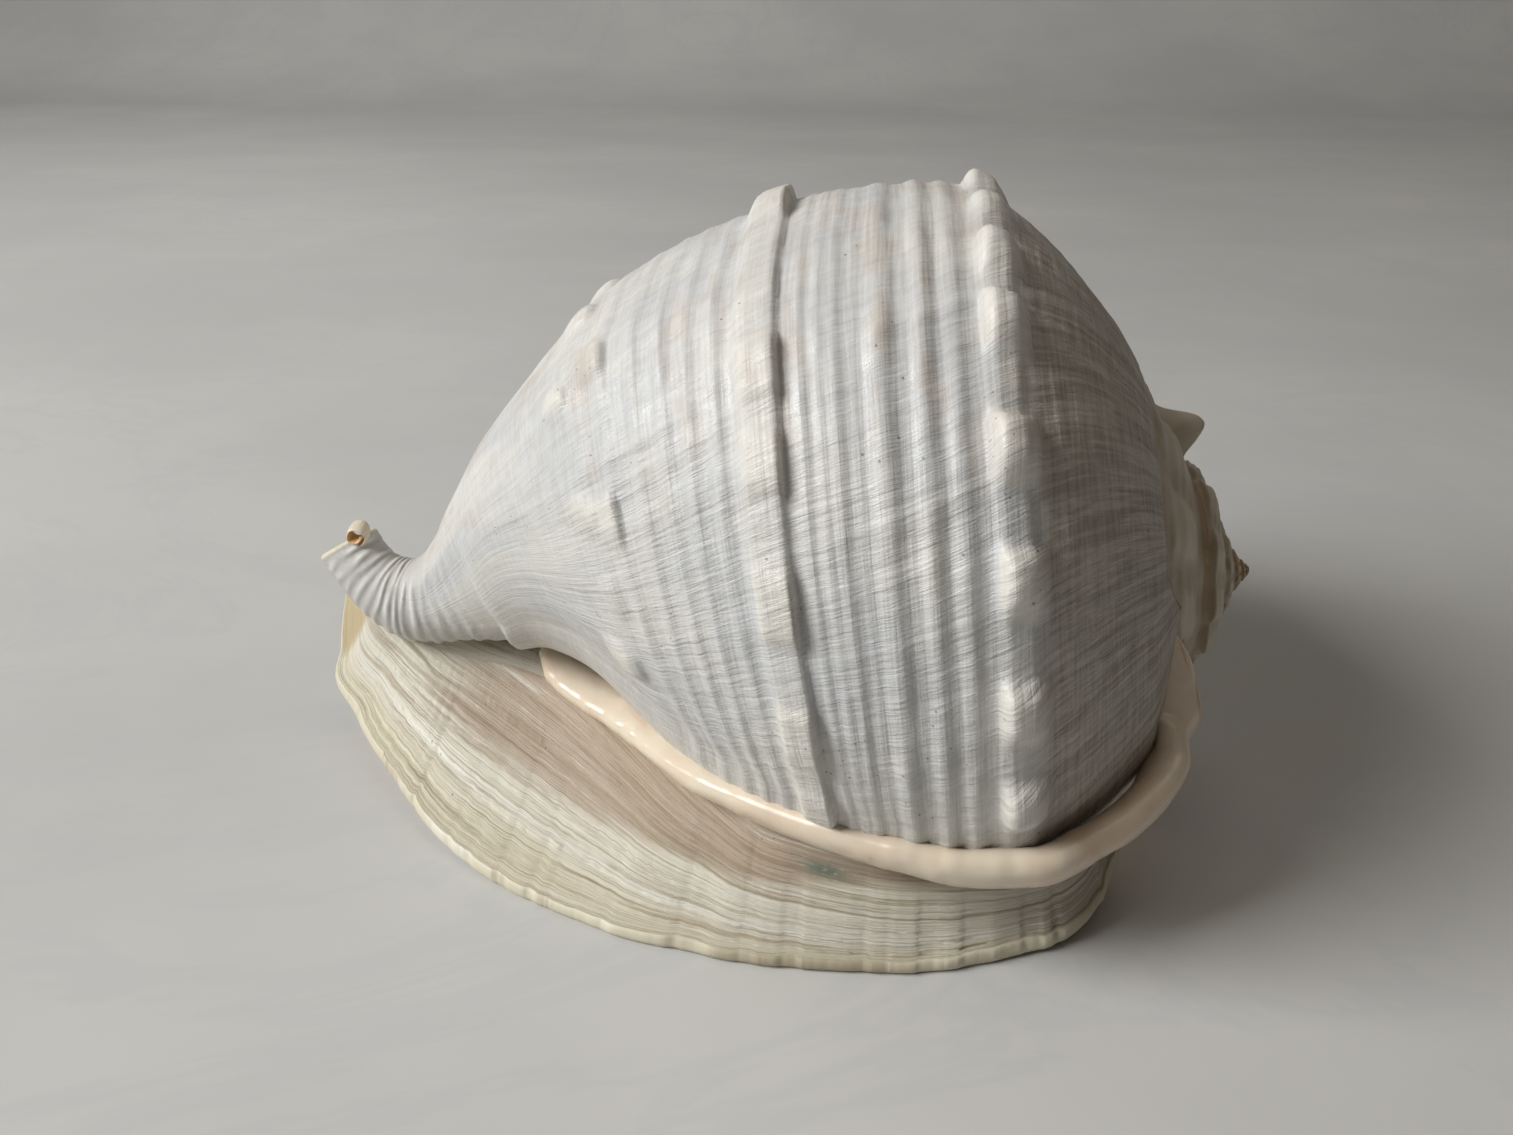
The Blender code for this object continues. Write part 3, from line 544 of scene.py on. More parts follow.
def shield_grid():
    """Rings of the shield: underside, rim, top, back and aperture wall, joined into one loop at each t."""
    t_row = np.linspace(0, 1, 520)
    out = [smooth(t_row, SHIELD_T, row)[:, None] for row in SHIELD_OUT]
    top = [smooth(t_row, SHIELD_T, row)[:, None] for row in SHIELD_TOP]
    slit = [smooth(t_row, SHIELD_T, row)[:, None] for row in SHIELD_SLIT]
    wall = smooth(t_row, SHIELD_T, SHIELD_WALL)[:, None]
    step = np.hypot(np.gradient(out[0][:, 0]), np.gradient(out[1][:, 0]))
    along = np.cumsum(step)[:, None]
    t = t_row[:, None]
    folds = FOLD_DEPTH * np.sin(np.pi * np.clip(t * 1.25 - 0.1, 0, 1)) * np.cos(2 * np.pi * FOLD_COUNT * t)
    wide = np.hypot(top[0] - out[0], top[1] - out[1])
    inward = [(top[n] - out[n]) / np.maximum(wide, 1e-6) for n in range(2)]
    chip = shield_chips(along)
    rim_low = np.maximum(out[2] - 0.9, 0)
    rim_high = out[2] + SHIELD_EDGE

    w = np.concatenate([np.linspace(0, 0.2, 16)[:-1], np.linspace(0.2, 1, 26)])[None, :]
    reach = [out[n] + inward[n] * (RIM_ROUND + 0.5 * chip) for n in range(2)]
    near_slit = ease((0.12 - w) / 0.12)
    under_x = slit[0] + (reach[0] - slit[0]) * w
    under_y = slit[1] + (reach[1] - slit[1]) * w + near_slit * folds
    strip = ease((w - 0.45) / 0.38)
    under_z = out[2] * w**2 + slit[2] * (1 - w) ** 2 - 0.9 * strip + 2.8 * (1 - strip)
    under_z = np.maximum(under_z + near_slit * (1.5 - 0.6 * folds), 0)
    under = np.stack(np.broadcast_arrays(under_x, under_y, under_z), -1)

    b = np.radians(np.linspace(-75, 75, 9))[None, :]
    pull = RIM_ROUND * (1 - np.cos(b)) + chip * (0.5 + 0.5 * ease((b + 0.6) / 1.2))
    middle = (rim_low + rim_high) / 2
    rim = np.stack(np.broadcast_arrays(out[0] + inward[0] * pull, out[1] + inward[1] * pull,
                                       middle + (rim_high - rim_low) / 2 * np.sin(b)), -1)

    r = (np.linspace(0, 1, 84) ** 1.15)[None, :]
    flow = r / (1 + 3.2 * np.maximum(t - 0.5, 0))
    back = 48 * flow
    rise = (top[2] - out[2] - SHIELD_EDGE) * r**1.35
    start = [out[n] + inward[n] * (RIM_ROUND + chip) for n in range(2)]
    ledge = shield_ledges(back, along) * ease((1 - r) / 0.06)
    over = np.stack(np.broadcast_arrays(start[0] + (top[0] - start[0]) * r, start[1] + (top[1] - start[1]) * r,
                                        rim_high + rise + ledge), -1)

    s = np.linspace(0, 1, 14)[None, 1:]
    behind = np.stack(np.broadcast_arrays(top[0] + (slit[0] - top[0]) * s, top[1] + (slit[1] + folds - top[1]) * s,
                                          top[2] + (wall - top[2]) * ease(s / 0.3)), -1)
    d = np.linspace(0, 1, 6)[None, 1:-1]
    down = behind[:, -1:] * (1 - d[..., None]) + under[:, :1] * d[..., None]

    grid = np.concatenate([under, rim, over, behind, down], axis=1)
    reach_mm = [-w * 60, -1 + 0 * b, back, back[:, -1:] + 40 * s, back[:, -1:] + 40 + 0 * d]
    parts = [np.broadcast_to(part, (len(t_row), part.shape[1])) for part in reach_mm]
    below = [np.ones_like(parts[0]), 0 * parts[1], 0 * parts[2], 0 * parts[3], 0.5 + 0 * parts[4]]
    inset = np.concatenate(parts, axis=1)
    side = np.concatenate(below, axis=1)
    near = np.concatenate([np.broadcast_to(near_slit, parts[0].shape) * (0.5 - 0.5 * folds / FOLD_DEPTH)]
                          + [0 * part for part in parts[1:]], axis=1)
    growth = np.stack([inset, np.broadcast_to(along, inset.shape), side * 50], axis=-1)
    from_mm = smooth(t_row, [0, 0.4, 0.5, 0.65, 1], [34, 30, 22, 13, 12])[:, None]
    flesh = ease((back - from_mm) / 5) * ease((0.86 - t) / 0.12)
    stain = np.exp(-(((t - 0.455) / 0.018) ** 2) - ((r - 0.69) / 0.06) ** 2)
    plate = ease((t - 0.962) / 0.012) + 0 * r
    zones = [np.concatenate([0 * parts[0], 0 * parts[1], zone] + [0 * part for part in parts[3:]], axis=1)
             for zone in (flesh, stain, plate)]
    return grid, {"growth": growth, "under": side, "between": near, "flesh": zones[0], "stain": zones[1],
                  "plate": zones[2]}


grid, measures = shield_grid()
shield = make_piece("shield", grid, measures)

# %% [markdown]
# ## The outer lip
# On the far side the shell ends in a thick lip, rolled outwards, with a row of teeth along the slit. Its
# section runs from the toothed edge out to the rim on the floor, up round the roll and back over the top.
# The teeth are a cosine along the edge, strongest at the middle of the lip.

# %% The outer lip
LIP_T = [0, 0.12, 0.25, 0.4, 0.55, 0.7, 0.82, 0.92, 1]
LIP_OUT = [[97, 88, 69, 38, 5, -30, -60, -84, -104], [14, 50, 75, 83, 76, 58, 39, 24, 14],
           [10, 4, 0, 0, 0, 0, 3, 14, 32]]
LIP_WALL = [21, 22, 23, 23, 23, 26, 33, 42, 50]
LIP_SLIT = [[80, 68, 49, 22, -6, -34, -58, -82, -104], [4, 18, 22, 22, 20, 16, 13, 10, 8],
            [0, 0, 0, 0, 0, 2, 7, 18, 33]]
LIP_ROLL = 13.0
LIP_INSET = 9.0
LIP_BULGE = 4.2
TOOTH_COUNT = 11
TOOTH_DEPTH = 2.4


def lip_grid():
    """Rings of the lip: underside with its teeth, quarter-round roll, top, and the wall of the slit."""
    t_row = np.linspace(0, 1, 460)
    out = [smooth(t_row, LIP_T, row)[:, None] for row in LIP_OUT]
    slit = [smooth(t_row, LIP_T, row)[:, None] for row in LIP_SLIT]
    wall = smooth(t_row, LIP_T, LIP_WALL)[:, None]
    t = t_row[:, None]
    along = np.cumsum(np.hypot(np.gradient(out[0][:, 0]), np.gradient(out[1][:, 0])))[:, None]
    wave = np.cos(2 * np.pi * TOOTH_COUNT * t + 0.5 * drift(t * 9, 0 * t, 51))
    teeth = TOOTH_DEPTH * np.sin(np.pi * np.clip(t * 1.1 - 0.02, 0, 1)) ** 0.5 * wave
    w = np.linspace(0, 1, 44)[None, :]
    near_slit = ease((0.35 - w) / 0.3)
    strip = ease((w - 0.5) / 0.2)
    under_x = slit[0] + (out[0] - slit[0]) * w
    under_y = slit[1] + (out[1] - slit[1]) * w - near_slit * teeth
    under_z = out[2] * w**2 + slit[2] * (1 - w) ** 2 - 0.9 * strip + 2.0 * (1 - strip)
    under_z = np.maximum(under_z + near_slit * (2.5 - 0.7 * teeth) + 1.2 * ease((w - 0.9) / 0.1), 0)
    under = np.stack(np.broadcast_arrays(under_x, under_y, under_z), -1)
    r = np.linspace(0, 1, 26)[None, 1:]
    a = np.pi * 0.5 * r
    inset = np.minimum(LIP_INSET, 0.45 * (out[1] - slit[1]))
    lines = 0.25 * drift(along / 3.5, r * 5, 52)
    roll = np.stack(np.broadcast_arrays(out[0] + 0 * r, out[1] + LIP_BULGE * np.sin(np.pi * r)
                                        - inset * (1 - np.cos(a)) + lines,
                                        out[2] + 0.3 + 0.9 * (1 - r) + LIP_ROLL * np.sin(a)), -1)
    s = np.linspace(0, 1, 16)[None, 1:]
    crown = out[2] + LIP_ROLL + 0.3
    over = np.stack(np.broadcast_arrays(out[0] + (slit[0] - out[0]) * s,
                                        out[1] - inset + (slit[1] - teeth - out[1] + inset) * s,
                                        crown + (wall - crown) * ease(s / 0.3)), -1)
    d = np.linspace(0, 1, 8)[None, 1:-1]
    down = over[:, -1:] * (1 - d[..., None]) + under[:, :1] * d[..., None]
    grid = np.concatenate([under, roll, over, down], axis=1)
    parts = [w * 55, 55 + 20 * r, 75 + 40 * s, -8 * d]
    inset_mm = np.concatenate([np.broadcast_to(p, (len(t_row), p.shape[1])) for p in parts], axis=1)
    between = np.broadcast_to(near_slit * (0.5 + 0.5 * wave), (len(t_row), w.shape[1]))
    rest = np.zeros((len(t_row), inset_mm.shape[1] - w.shape[1]))
    rest[:, -d.shape[1]:] = 0.5 + 0.5 * wave
    growth = np.stack([inset_mm, np.broadcast_to(along, inset_mm.shape), 0 * inset_mm], axis=-1)
    return grid, {"growth": growth, "between": np.concatenate([between, rest], axis=1)}


grid, measures = lip_grid()
lip = make_piece("outer_lip", grid, measures)

# %% [markdown]
# ## The callus band
# Where the whorl meets the shield, a smooth peach-coloured band of callus runs round the join, from a thin
# flap near the canal to a high collar beside the spire. It is an oval section carried along a measured path,
# with its edge made a little uneven.

# %% The callus band
BAND_X = [-58, -50, -40.7, -27.4, -8.7, 7.5, 24.2, 39.8, 55, 68, 80, 88, 95, 99.5, 101.5, 100.5, 97, 94.5, 93]
BAND_Y = [-4, -12, -20, -32, -51, -62.5, -71, -77, -80.5, -80.5, -74, -68.5, -62, -54, -47, -42, -40, -39, -38]
BAND_Z = [31, 28, 26.5, 26, 26.5, 28, 28.5, 29, 29.5, 31, 33, 35, 38.5, 42.5, 49, 58, 67, 75, 84]
BAND_WIDE = [4, 7.5, 7.5, 6.5, 6, 6, 6.5, 6.5, 6.5, 6.5, 6.5, 7, 7.5, 7.2, 6.4, 4.8, 3.2, 2.2, 1.2]
BAND_THICK = 4.0


def band_grid():
    """Path plus an oval: cosine across the band and sine away from the axis, in the path's own directions."""
    t = np.linspace(0, 1, 560)
    at = np.linspace(0, 1, len(BAND_X))
    path = np.stack([smooth(t, at, row) for row in (BAND_X, BAND_Y, BAND_Z)], axis=-1)
    tangent = np.gradient(path, axis=0)
    tangent = tangent / np.linalg.norm(tangent, axis=1, keepdims=True)
    away = path - (path * [1, 0, 0] + [-6, 0, AXIS_HEIGHT + 20])
    away = away - tangent * np.sum(away * tangent, axis=1, keepdims=True)
    away = away / np.linalg.norm(away, axis=1, keepdims=True)
    across = np.cross(tangent, away)
    along = np.cumsum(np.linalg.norm(np.gradient(path, axis=0), axis=1))[:, None]
    a = np.linspace(0, 2 * np.pi, 72, endpoint=False)[None, :]
    wide = smooth(t, at, BAND_WIDE)[:, None]
    thick = np.minimum(BAND_THICK, wide * 0.8)
    uneven = 1 + 0.05 * drift(along / 9, np.cos(a) * 1.5, 61) + 0.03 * drift(along / 3.1, np.cos(a) * 2, 62)
    sideways = (wide * np.cos(a) * uneven)[..., None] * across[:, None]
    upwards = (thick * np.sin(a) * uneven)[..., None] * away[:, None]
    grid = path[:, None] + sideways + upwards
    growth = np.stack(np.broadcast_arrays(wide * np.cos(a), along, 0 * a), axis=-1)
    return grid, {"growth": growth, "edge": np.broadcast_to(np.cos(a), growth.shape[:2])}


grid, measures = band_grid()
band = make_piece("callus_band", grid, measures)

# %% [markdown]
# ## Building materials from nodes
# A material here is a small tree of nodes round one Principled shader. Two helpers keep the code short: one
# adds a node with its settings, values and links, and one mixes two colours by a mask.

# %% Node helpers


def add(tree, kind, values=None, **settings):
    """New node in the tree: settings go on the node, and values or sockets go into its inputs."""
    made = tree.nodes.new(kind)
    for key, value in settings.items():
        setattr(made, key, value)
    for key, value in (values or {}).items():
        if isinstance(value, bpy.types.NodeSocket):
            tree.links.new(value, made.inputs[key])
        else:
            made.inputs[key].default_value = value
    return made


def mixed(tree, mask, a, b, way="MIX"):
    """Colour that goes from a to b as the mask goes from 0 to 1."""
    return add(tree, "ShaderNodeMix", {0: mask, 6: a, 7: b}, data_type="RGBA", blend_type=way).outputs[2]


def sums(tree, way, a, b, clamp=False):
    return add(tree, "ShaderNodeMath", {0: a, 1: b}, operation=way, use_clamp=clamp).outputs[0]


def ranged(tree, value, low, high, to_low=0.0, to_high=1.0):
    """Value carried smoothly from the range low..high to to_low..to_high, and held at its ends."""
    keys = {"Value": value, "From Min": low, "From Max": high, "To Min": to_low, "To Max": to_high}
    return add(tree, "ShaderNodeMapRange", keys, interpolation_type="SMOOTHSTEP").outputs["Result"]


def stretched(tree, vector, scale):
    return add(tree, "ShaderNodeVectorMath", {0: vector, 1: scale}, operation="MULTIPLY").outputs[0]


def noise(tree, vector, detail=3.0, rough=0.55, twist=0.0):
    keys = {"Vector": vector, "Scale": 1.0, "Detail": detail, "Roughness": rough, "Distortion": twist}
    return add(tree, "ShaderNodeTexNoise", keys).outputs["Fac"]


def bell(tree, value, middle, half):
    """1 at the middle, falling smoothly to 0 at half away from it."""
    away = sums(tree, "ABSOLUTE", sums(tree, "SUBTRACT", value, float(middle)), 0.0)
    return ranged(tree, away, 0, half, 1, 0)


def measure(tree, name, output="Vector"):
    return add(tree, "ShaderNodeAttribute", attribute_name=name).outputs[output]


def new_group(name, inputs, outputs):
    """Empty node group with named sockets. Returns the tree, its input node and its output node."""
    tree = bpy.data.node_groups.new(name, "ShaderNodeTree")
    for key, kind, value in inputs:
        socket = tree.interface.new_socket(key, in_out="INPUT", socket_type=kind)
        if value is not None:
            socket.default_value = value
    for key, kind in outputs:
        tree.interface.new_socket(key, in_out="OUTPUT", socket_type=kind)
    return tree, tree.nodes.new("NodeGroupInput"), tree.nodes.new("NodeGroupOutput")


# %% [markdown]
# ## Growth lines, a group for every part
# Shell grows at its edge, so all of its parts show hair-fine lines along the old edges, crossed by finer
# threads. The group takes the piece's own measures in millimetres and gives a height for the bump and a
# tone for the colour. Noise that is stretched a hundred times in one direction makes such lines, and they
# never repeat, as a wave texture would.

# %% Growth lines
FLOAT = "NodeSocketFloat"
VECTOR = "NodeSocketVector"
lines_group, given, result = new_group(
    "growth_lines", [("Place", VECTOR, None), ("Line Stretch", VECTOR, (0.02, 0.0, 0.9)),
                     ("Thread Stretch", VECTOR, (0.85, 0.03, 0.0))],
    [("Height", FLOAT), ("Tone", FLOAT), ("Thread", FLOAT)])
line_place = stretched(lines_group, given.outputs["Place"], given.outputs["Line Stretch"])
thread_place = stretched(lines_group, given.outputs["Place"], given.outputs["Thread Stretch"])
lines = noise(lines_group, line_place, 5.0, 0.62)
threads = noise(lines_group, thread_place, 3.0, 0.5)
height = sums(lines_group, "ADD", sums(lines_group, "MULTIPLY", lines, 0.7), sums(lines_group, "MULTIPLY", threads, 0.3))
lines_group.links.new(height, result.inputs["Height"])
lines_group.links.new(ranged(lines_group, lines, 0.36, 0.62), result.inputs["Tone"])
lines_group.links.new(ranged(lines_group, threads, 0.38, 0.6), result.inputs["Thread"])

# %% [markdown]
# ## Pits and specks
# The surface has been bored and scratched: small dark pits lie scattered over it, more in some patches than
# in others. Cells of a Voronoi texture give one dot each, and a slow noise leaves out most of them.

# %% Pits and specks
specks_group, given, result = new_group(
    "specks", [("Place", VECTOR, None), ("Size", FLOAT, 0.14), ("Rarity", FLOAT, 0.56)], [("Mask", FLOAT)])
cells = add(specks_group, "ShaderNodeTexVoronoi", {"Vector": given.outputs["Place"], "Scale": 1.0, "Randomness": 1.0})
patches = noise(specks_group, stretched(specks_group, given.outputs["Place"], (0.13, 0.13, 0.13)), 2.0)
picked = sums(specks_group, "GREATER_THAN", patches, given.outputs["Rarity"])
dot = sums(specks_group, "LESS_THAN", cells.outputs["Distance"], given.outputs["Size"])
specks_group.links.new(sums(specks_group, "MULTIPLY", picked, dot), result.inputs["Mask"])


def use_group(tree, group, values):
    made = add(tree, "ShaderNodeGroup", node_tree=group)
    for key, value in values.items():
        if isinstance(value, bpy.types.NodeSocket):
            tree.links.new(value, made.inputs[key])
        else:
            made.inputs[key].default_value = value
    return made


def new_material(name):
    material = bpy.data.materials.new(name)
    material.use_nodes = True
    tree = material.node_tree
    return material, tree, tree.nodes["Principled BSDF"]


def finish_shader(tree, shader, colour, rough, height, strength, distance=0.0004):
    """Links colour and roughness, and the height through one Bump node."""
    tree.links.new(colour, shader.inputs["Base Color"])
    tree.links.new(rough, shader.inputs["Roughness"])
    relief = add(tree, "ShaderNodeBump", {"Height": height, "Strength": strength, "Distance": distance})
    tree.links.new(relief.outputs["Normal"], shader.inputs["Normal"])


# %% [markdown]
# ## White shell with cream ridges
# The whorl is white, bluish in the hollows, where the shell is thin and lets some light through, and cream
# on the cords and knobs. Broad faint patches of beige lie on the upper side. The slope behind the shoulder row
# is grey-brown, and darker still as painted shade, and its growth lines and threads carry painted shade and
# light. The colour reads the height of the relief, which the geometry left on the mesh, so cream sits on the
# crests exactly.

# %% Whorl material
white_shell, tree, shader = new_material("white_shell")
place_mm = measure(tree, "growth")
along = add(tree, "ShaderNodeSeparateXYZ", {0: place_mm})
coarse = use_group(tree, lines_group, {"Place": place_mm, "Line Stretch": (0.05, 0.0, 0.42),
                                       "Thread Stretch": (0.55, 0.03, 0.0)})
fine = use_group(tree, lines_group, {"Place": place_mm, "Line Stretch": (0.16, 0.0, 1.25),
                                     "Thread Stretch": (1.5, 0.05, 0.0)})
high = measure(tree, "relief", "Fac")
crest = ranged(tree, high, 0.5, 2.6)
valley_white = (0.62, 0.63, 0.64, 1)
bone_white = (0.71, 0.705, 0.67, 1)
ridge_cream = (0.79, 0.765, 0.71, 1)
beige = (0.60, 0.525, 0.46, 1)
slow = ranged(tree, noise(tree, stretched(tree, place_mm, (0.03, 0.022, 0.0)), 3.0), 0.4, 0.6)
base = mixed(tree, slow, valley_white, bone_white)
base = mixed(tree, crest, base, ridge_cream)
upper = ranged(tree, along.outputs["Y"], 25, 75)
patch = ranged(tree, noise(tree, stretched(tree, place_mm, (0.12, 0.04, 0.0)), 4.0, 0.6), 0.48, 0.64, 0, 0.6)
base = mixed(tree, sums(tree, "MULTIPLY", patch, upper), base, beige)
# Painted shade: the slope behind the shoulder row is drawn darker grey-brown, partly its own colour and partly the
# shade it lies in.
slope_in_shade = ranged(tree, along.outputs["X"], 57, 62, 0, 0.75)
base = mixed(tree, slope_in_shade, base, (0.50, 0.44, 0.38, 1))
# Painted light: the lighter threads on the slope are partly their own colour and partly the light on their raised
# sides.
slope_threads_and_light = ranged(tree, noise(tree, stretched(tree, place_mm, (0.25, 0.0, 0.35)), 5.0, 0.65), 0.5, 0.64, 0, 0.75)
base = mixed(tree, sums(tree, "MULTIPLY", slope_threads_and_light, slope_in_shade), base, (0.72, 0.66, 0.58, 1))
# Growth lines are drawn a little darker everywhere, in their own colour. On the slope they are drawn much darker,
# partly their colour and partly painted shade in their grooves.
line_tone_and_shade = sums(tree, "ADD", ranged(tree, coarse.outputs["Tone"], 0, 1, 0.12, 0),
            sums(tree, "MULTIPLY", ranged(tree, coarse.outputs["Tone"], 0, 1, 0.8, 0), slope_in_shade))
base = mixed(tree, line_tone_and_shade, base, (0.30, 0.25, 0.21, 1))
base = mixed(tree, ranged(tree, fine.outputs["Tone"], 0, 1, 0.1, 0), base, (0.36, 0.33, 0.31, 1))
base = mixed(tree, ranged(tree, fine.outputs["Thread"], 0, 1, 0, 0.2), base, (0.86, 0.85, 0.82, 1))
specks = use_group(tree, specks_group, {"Place": stretched(tree, place_mm, (0.32, 0.32, 0.0)), "Size": 0.1,
                                        "Rarity": 0.57})
row = bell(tree, along.outputs["X"], 53, 7)
many = use_group(tree, specks_group, {"Place": stretched(tree, place_mm, (0.55, 0.55, 0.0)), "Size": 0.12,
                                      "Rarity": 0.53})
dirt = sums(tree, "MAXIMUM", specks.outputs["Mask"], sums(tree, "MULTIPLY", many.outputs["Mask"], row))
base = mixed(tree, sums(tree, "MULTIPLY", dirt, 0.65), base, (0.17, 0.13, 0.10, 1))
neck = ranged(tree, along.outputs["X"], -87, -97)
ribbed = mixed(tree, ranged(tree, high, 0.1, 0.7), (0.56, 0.545, 0.52, 1), (0.86, 0.85, 0.82, 1))
base = mixed(tree, neck, base, ribbed)
indoors = measure(tree, "indoors", "Fac")
base = mixed(tree, ranged(tree, indoors, 0.5, 1), base, (0.55, 0.33, 0.2, 1))
rim = sums(tree, "MULTIPLY", bell(tree, indoors, 0.35, 0.75), ranged(tree, indoors, 0, 0.05))
base = mixed(tree, rim, base, (0.86, 0.76, 0.58, 1))
rough = ranged(tree, noise(tree, stretched(tree, place_mm, (0.12, 0.12, 0.0)), 3.0), 0.3, 0.7, 0.28, 0.5)
rough = sums(tree, "ADD", rough, ranged(tree, along.outputs["X"], 57, 64, 0, 0.15))
height = sums(tree, "ADD", coarse.outputs["Height"], sums(tree, "MULTIPLY", fine.outputs["Height"], 0.35))
calm = ranged(tree, along.outputs["X"], -72, -40, 0.22, 0.6)
calm = sums(tree, "MULTIPLY", calm, ranged(tree, along.outputs["Y"], 75, 30, 1, 1.7))
height = sums(tree, "MULTIPLY", height, sums(tree, "ADD", calm, slope_in_shade))
finish_shader(tree, shader, base, rough, height, 1.0, 0.0011)
last_whorl.data.materials.append(white_shell)

# %% [markdown]
# ## The curl's colours
# The roll is cream outside and orange inside, where the thin edge lets the light through.

# %% Curl material
curl_cream, tree, shader = new_material("curl_cream")
place_mm = measure(tree, "growth")
grain = use_group(tree, lines_group, {"Place": place_mm, "Line Stretch": (1.2, 0.1, 0.0),
                                      "Thread Stretch": (0.1, 0.9, 0.0)})
base = mixed(tree, ranged(tree, measure(tree, "inner", "Fac"), 0.45, 0.6), (0.82, 0.74, 0.60, 1), (0.78, 0.50, 0.24, 1))
base = mixed(tree, ranged(tree, grain.outputs["Tone"], 0, 1, 0.25, 0), base, (0.50, 0.36, 0.22, 1))
finish_shader(tree, shader, base, ranged(tree, grain.outputs["Tone"], 0, 1, 0.45, 0.3), grain.outputs["Height"], 0.5)
curl.data.materials.append(curl_cream)

# %% [markdown]
# ## The worn spire
# The oldest turns have lost their gloss. They are tan and olive, darker in the groove between turns, and
# ochre brown at the very tip.

# %% Spire material
worn_tan, tree, shader = new_material("worn_tan")
place_mm = measure(tree, "growth")
grain = use_group(tree, lines_group, {"Place": place_mm, "Line Stretch": (0.6, 0.5, 0.0),
                                      "Thread Stretch": (0.9, 0.05, 0.0)})
along = add(tree, "ShaderNodeSeparateXYZ", {0: place_mm})
base = mixed(tree, ranged(tree, along.outputs["X"], 92, 104), (0.60, 0.56, 0.49, 1), (0.55, 0.48, 0.37, 1))
patch = ranged(tree, noise(tree, stretched(tree, place_mm, (0.12, 0.1, 0.0)), 4.0), 0.45, 0.65)
base = mixed(tree, patch, base, (0.50, 0.46, 0.38, 1))
base = mixed(tree, ranged(tree, measure(tree, "groove", "Fac"), 0.4, 1.0, 0, 0.6), base, (0.36, 0.24, 0.13, 1))
base = mixed(tree, ranged(tree, along.outputs["X"], 118, 127, 0, 0.85), base, (0.34, 0.20, 0.09, 1))
base = mixed(tree, ranged(tree, measure(tree, "relief", "Fac"), 1.0, 1.9, 0, 0.7), base, (0.70, 0.65, 0.55, 1))
rough = ranged(tree, grain.outputs["Tone"], 0, 1, 0.62, 0.45)
finish_shader(tree, shader, base, rough, grain.outputs["Height"], 0.6)
spire.data.materials.append(worn_tan)

# %% [markdown]
# ## The shield's growth bands
# Seen from above, the shield is matt and banded along its edge: yellowish near the rim, pinkish brown in
# the middle, cream by the whorl, with thin brown lines where dirt sits behind each ledge. Underneath it is
# the smooth glossy callus that the animal touched, cream to peach, with dark brown between the folds.

# %% Shield material
shield_callus, tree, shader = new_material("shield_callus")
place_mm = measure(tree, "growth")
grain = use_group(tree, lines_group, {"Place": place_mm, "Line Stretch": (1.5, 0.016, 0.0),
                                      "Thread Stretch": (0.05, 0.35, 0.0)})
along = add(tree, "ShaderNodeSeparateXYZ", {0: place_mm})
back = along.outputs["X"]
flesh = measure(tree, "flesh", "Fac")
rim_cream = (0.75, 0.70, 0.54, 1)
pale_cream = (0.81, 0.78, 0.67, 1)
flesh_pink = (0.50, 0.40, 0.31, 1)
wavy = sums(tree, "MULTIPLY", noise(tree, stretched(tree, place_mm, (0.05, 0.02, 0.0)), 3.0), 6.0)
reach = sums(tree, "ADD", back, wavy)
base = mixed(tree, ranged(tree, reach, 7, 13), rim_cream, pale_cream)
green = noise(tree, stretched(tree, place_mm, (0.07, 0.012, 0.0)), 3.0)
base = mixed(tree, ranged(tree, green, 0.48, 0.66, 0, 0.5), base, (0.70, 0.69, 0.53, 1))
base = mixed(tree, sums(tree, "MULTIPLY", bell(tree, reach, 12.3, 1.6), 0.8), base, (0.86, 0.84, 0.76, 1))
base = mixed(tree, flesh, base, flesh_pink)
stripe = noise(tree, stretched(tree, place_mm, (0.4, 0.009, 0.0)), 8.0, 0.78)
brown = sums(tree, "MULTIPLY", ranged(tree, stripe, 0.5, 0.6), ranged(tree, flesh, 0, 1, 0.6, 0.85))
base = mixed(tree, brown, base, (0.33, 0.24, 0.15, 1))
base = mixed(tree, ranged(tree, stripe, 0.46, 0.38, 0, 0.75), base, (0.85, 0.82, 0.73, 1))
old_edge = sums(tree, "MULTIPLY", bell(tree, reach, 23.5, 0.8), ranged(tree, flesh, 1, 0, 0.35, 0.8))
base = mixed(tree, old_edge, base, (0.30, 0.24, 0.13, 1))
hair = noise(tree, stretched(tree, place_mm, (2.4, 0.012, 0.0)), 4.0, 0.6)
base = mixed(tree, ranged(tree, hair, 0.54, 0.62, 0, 0.65), base, (0.38, 0.31, 0.20, 1))
base = mixed(tree, ranged(tree, grain.outputs["Tone"], 0, 1, 0.25, 0), base, (0.50, 0.42, 0.32, 1))
base = mixed(tree, measure(tree, "plate", "Fac"), base, (0.60, 0.49, 0.30, 1))
stain = measure(tree, "stain", "Fac")
mottled = ranged(tree, noise(tree, stretched(tree, place_mm, (0.9, 0.5, 0.0)), 4.0, 0.7), 0.3, 0.5)
base = mixed(tree, sums(tree, "MULTIPLY", stain, mottled), base, (0.13, 0.17, 0.13, 1))
dots = use_group(tree, specks_group, {"Place": stretched(tree, place_mm, (0.2, 0.2, 0.0)), "Size": 0.05, "Rarity": 0.52})
base = mixed(tree, sums(tree, "MULTIPLY", dots.outputs["Mask"], 0.7), base, (0.15, 0.11, 0.08, 1))
under = measure(tree, "under", "Fac")
base = mixed(tree, under, base, (0.80, 0.66, 0.52, 1))
base = mixed(tree, ranged(tree, measure(tree, "between", "Fac"), 0.45, 0.95, 0, 0.9), base, (0.10, 0.045, 0.025, 1))
rough = mixed(tree, under, (0.52, 0.52, 0.52, 1), (0.25, 0.25, 0.25, 1))
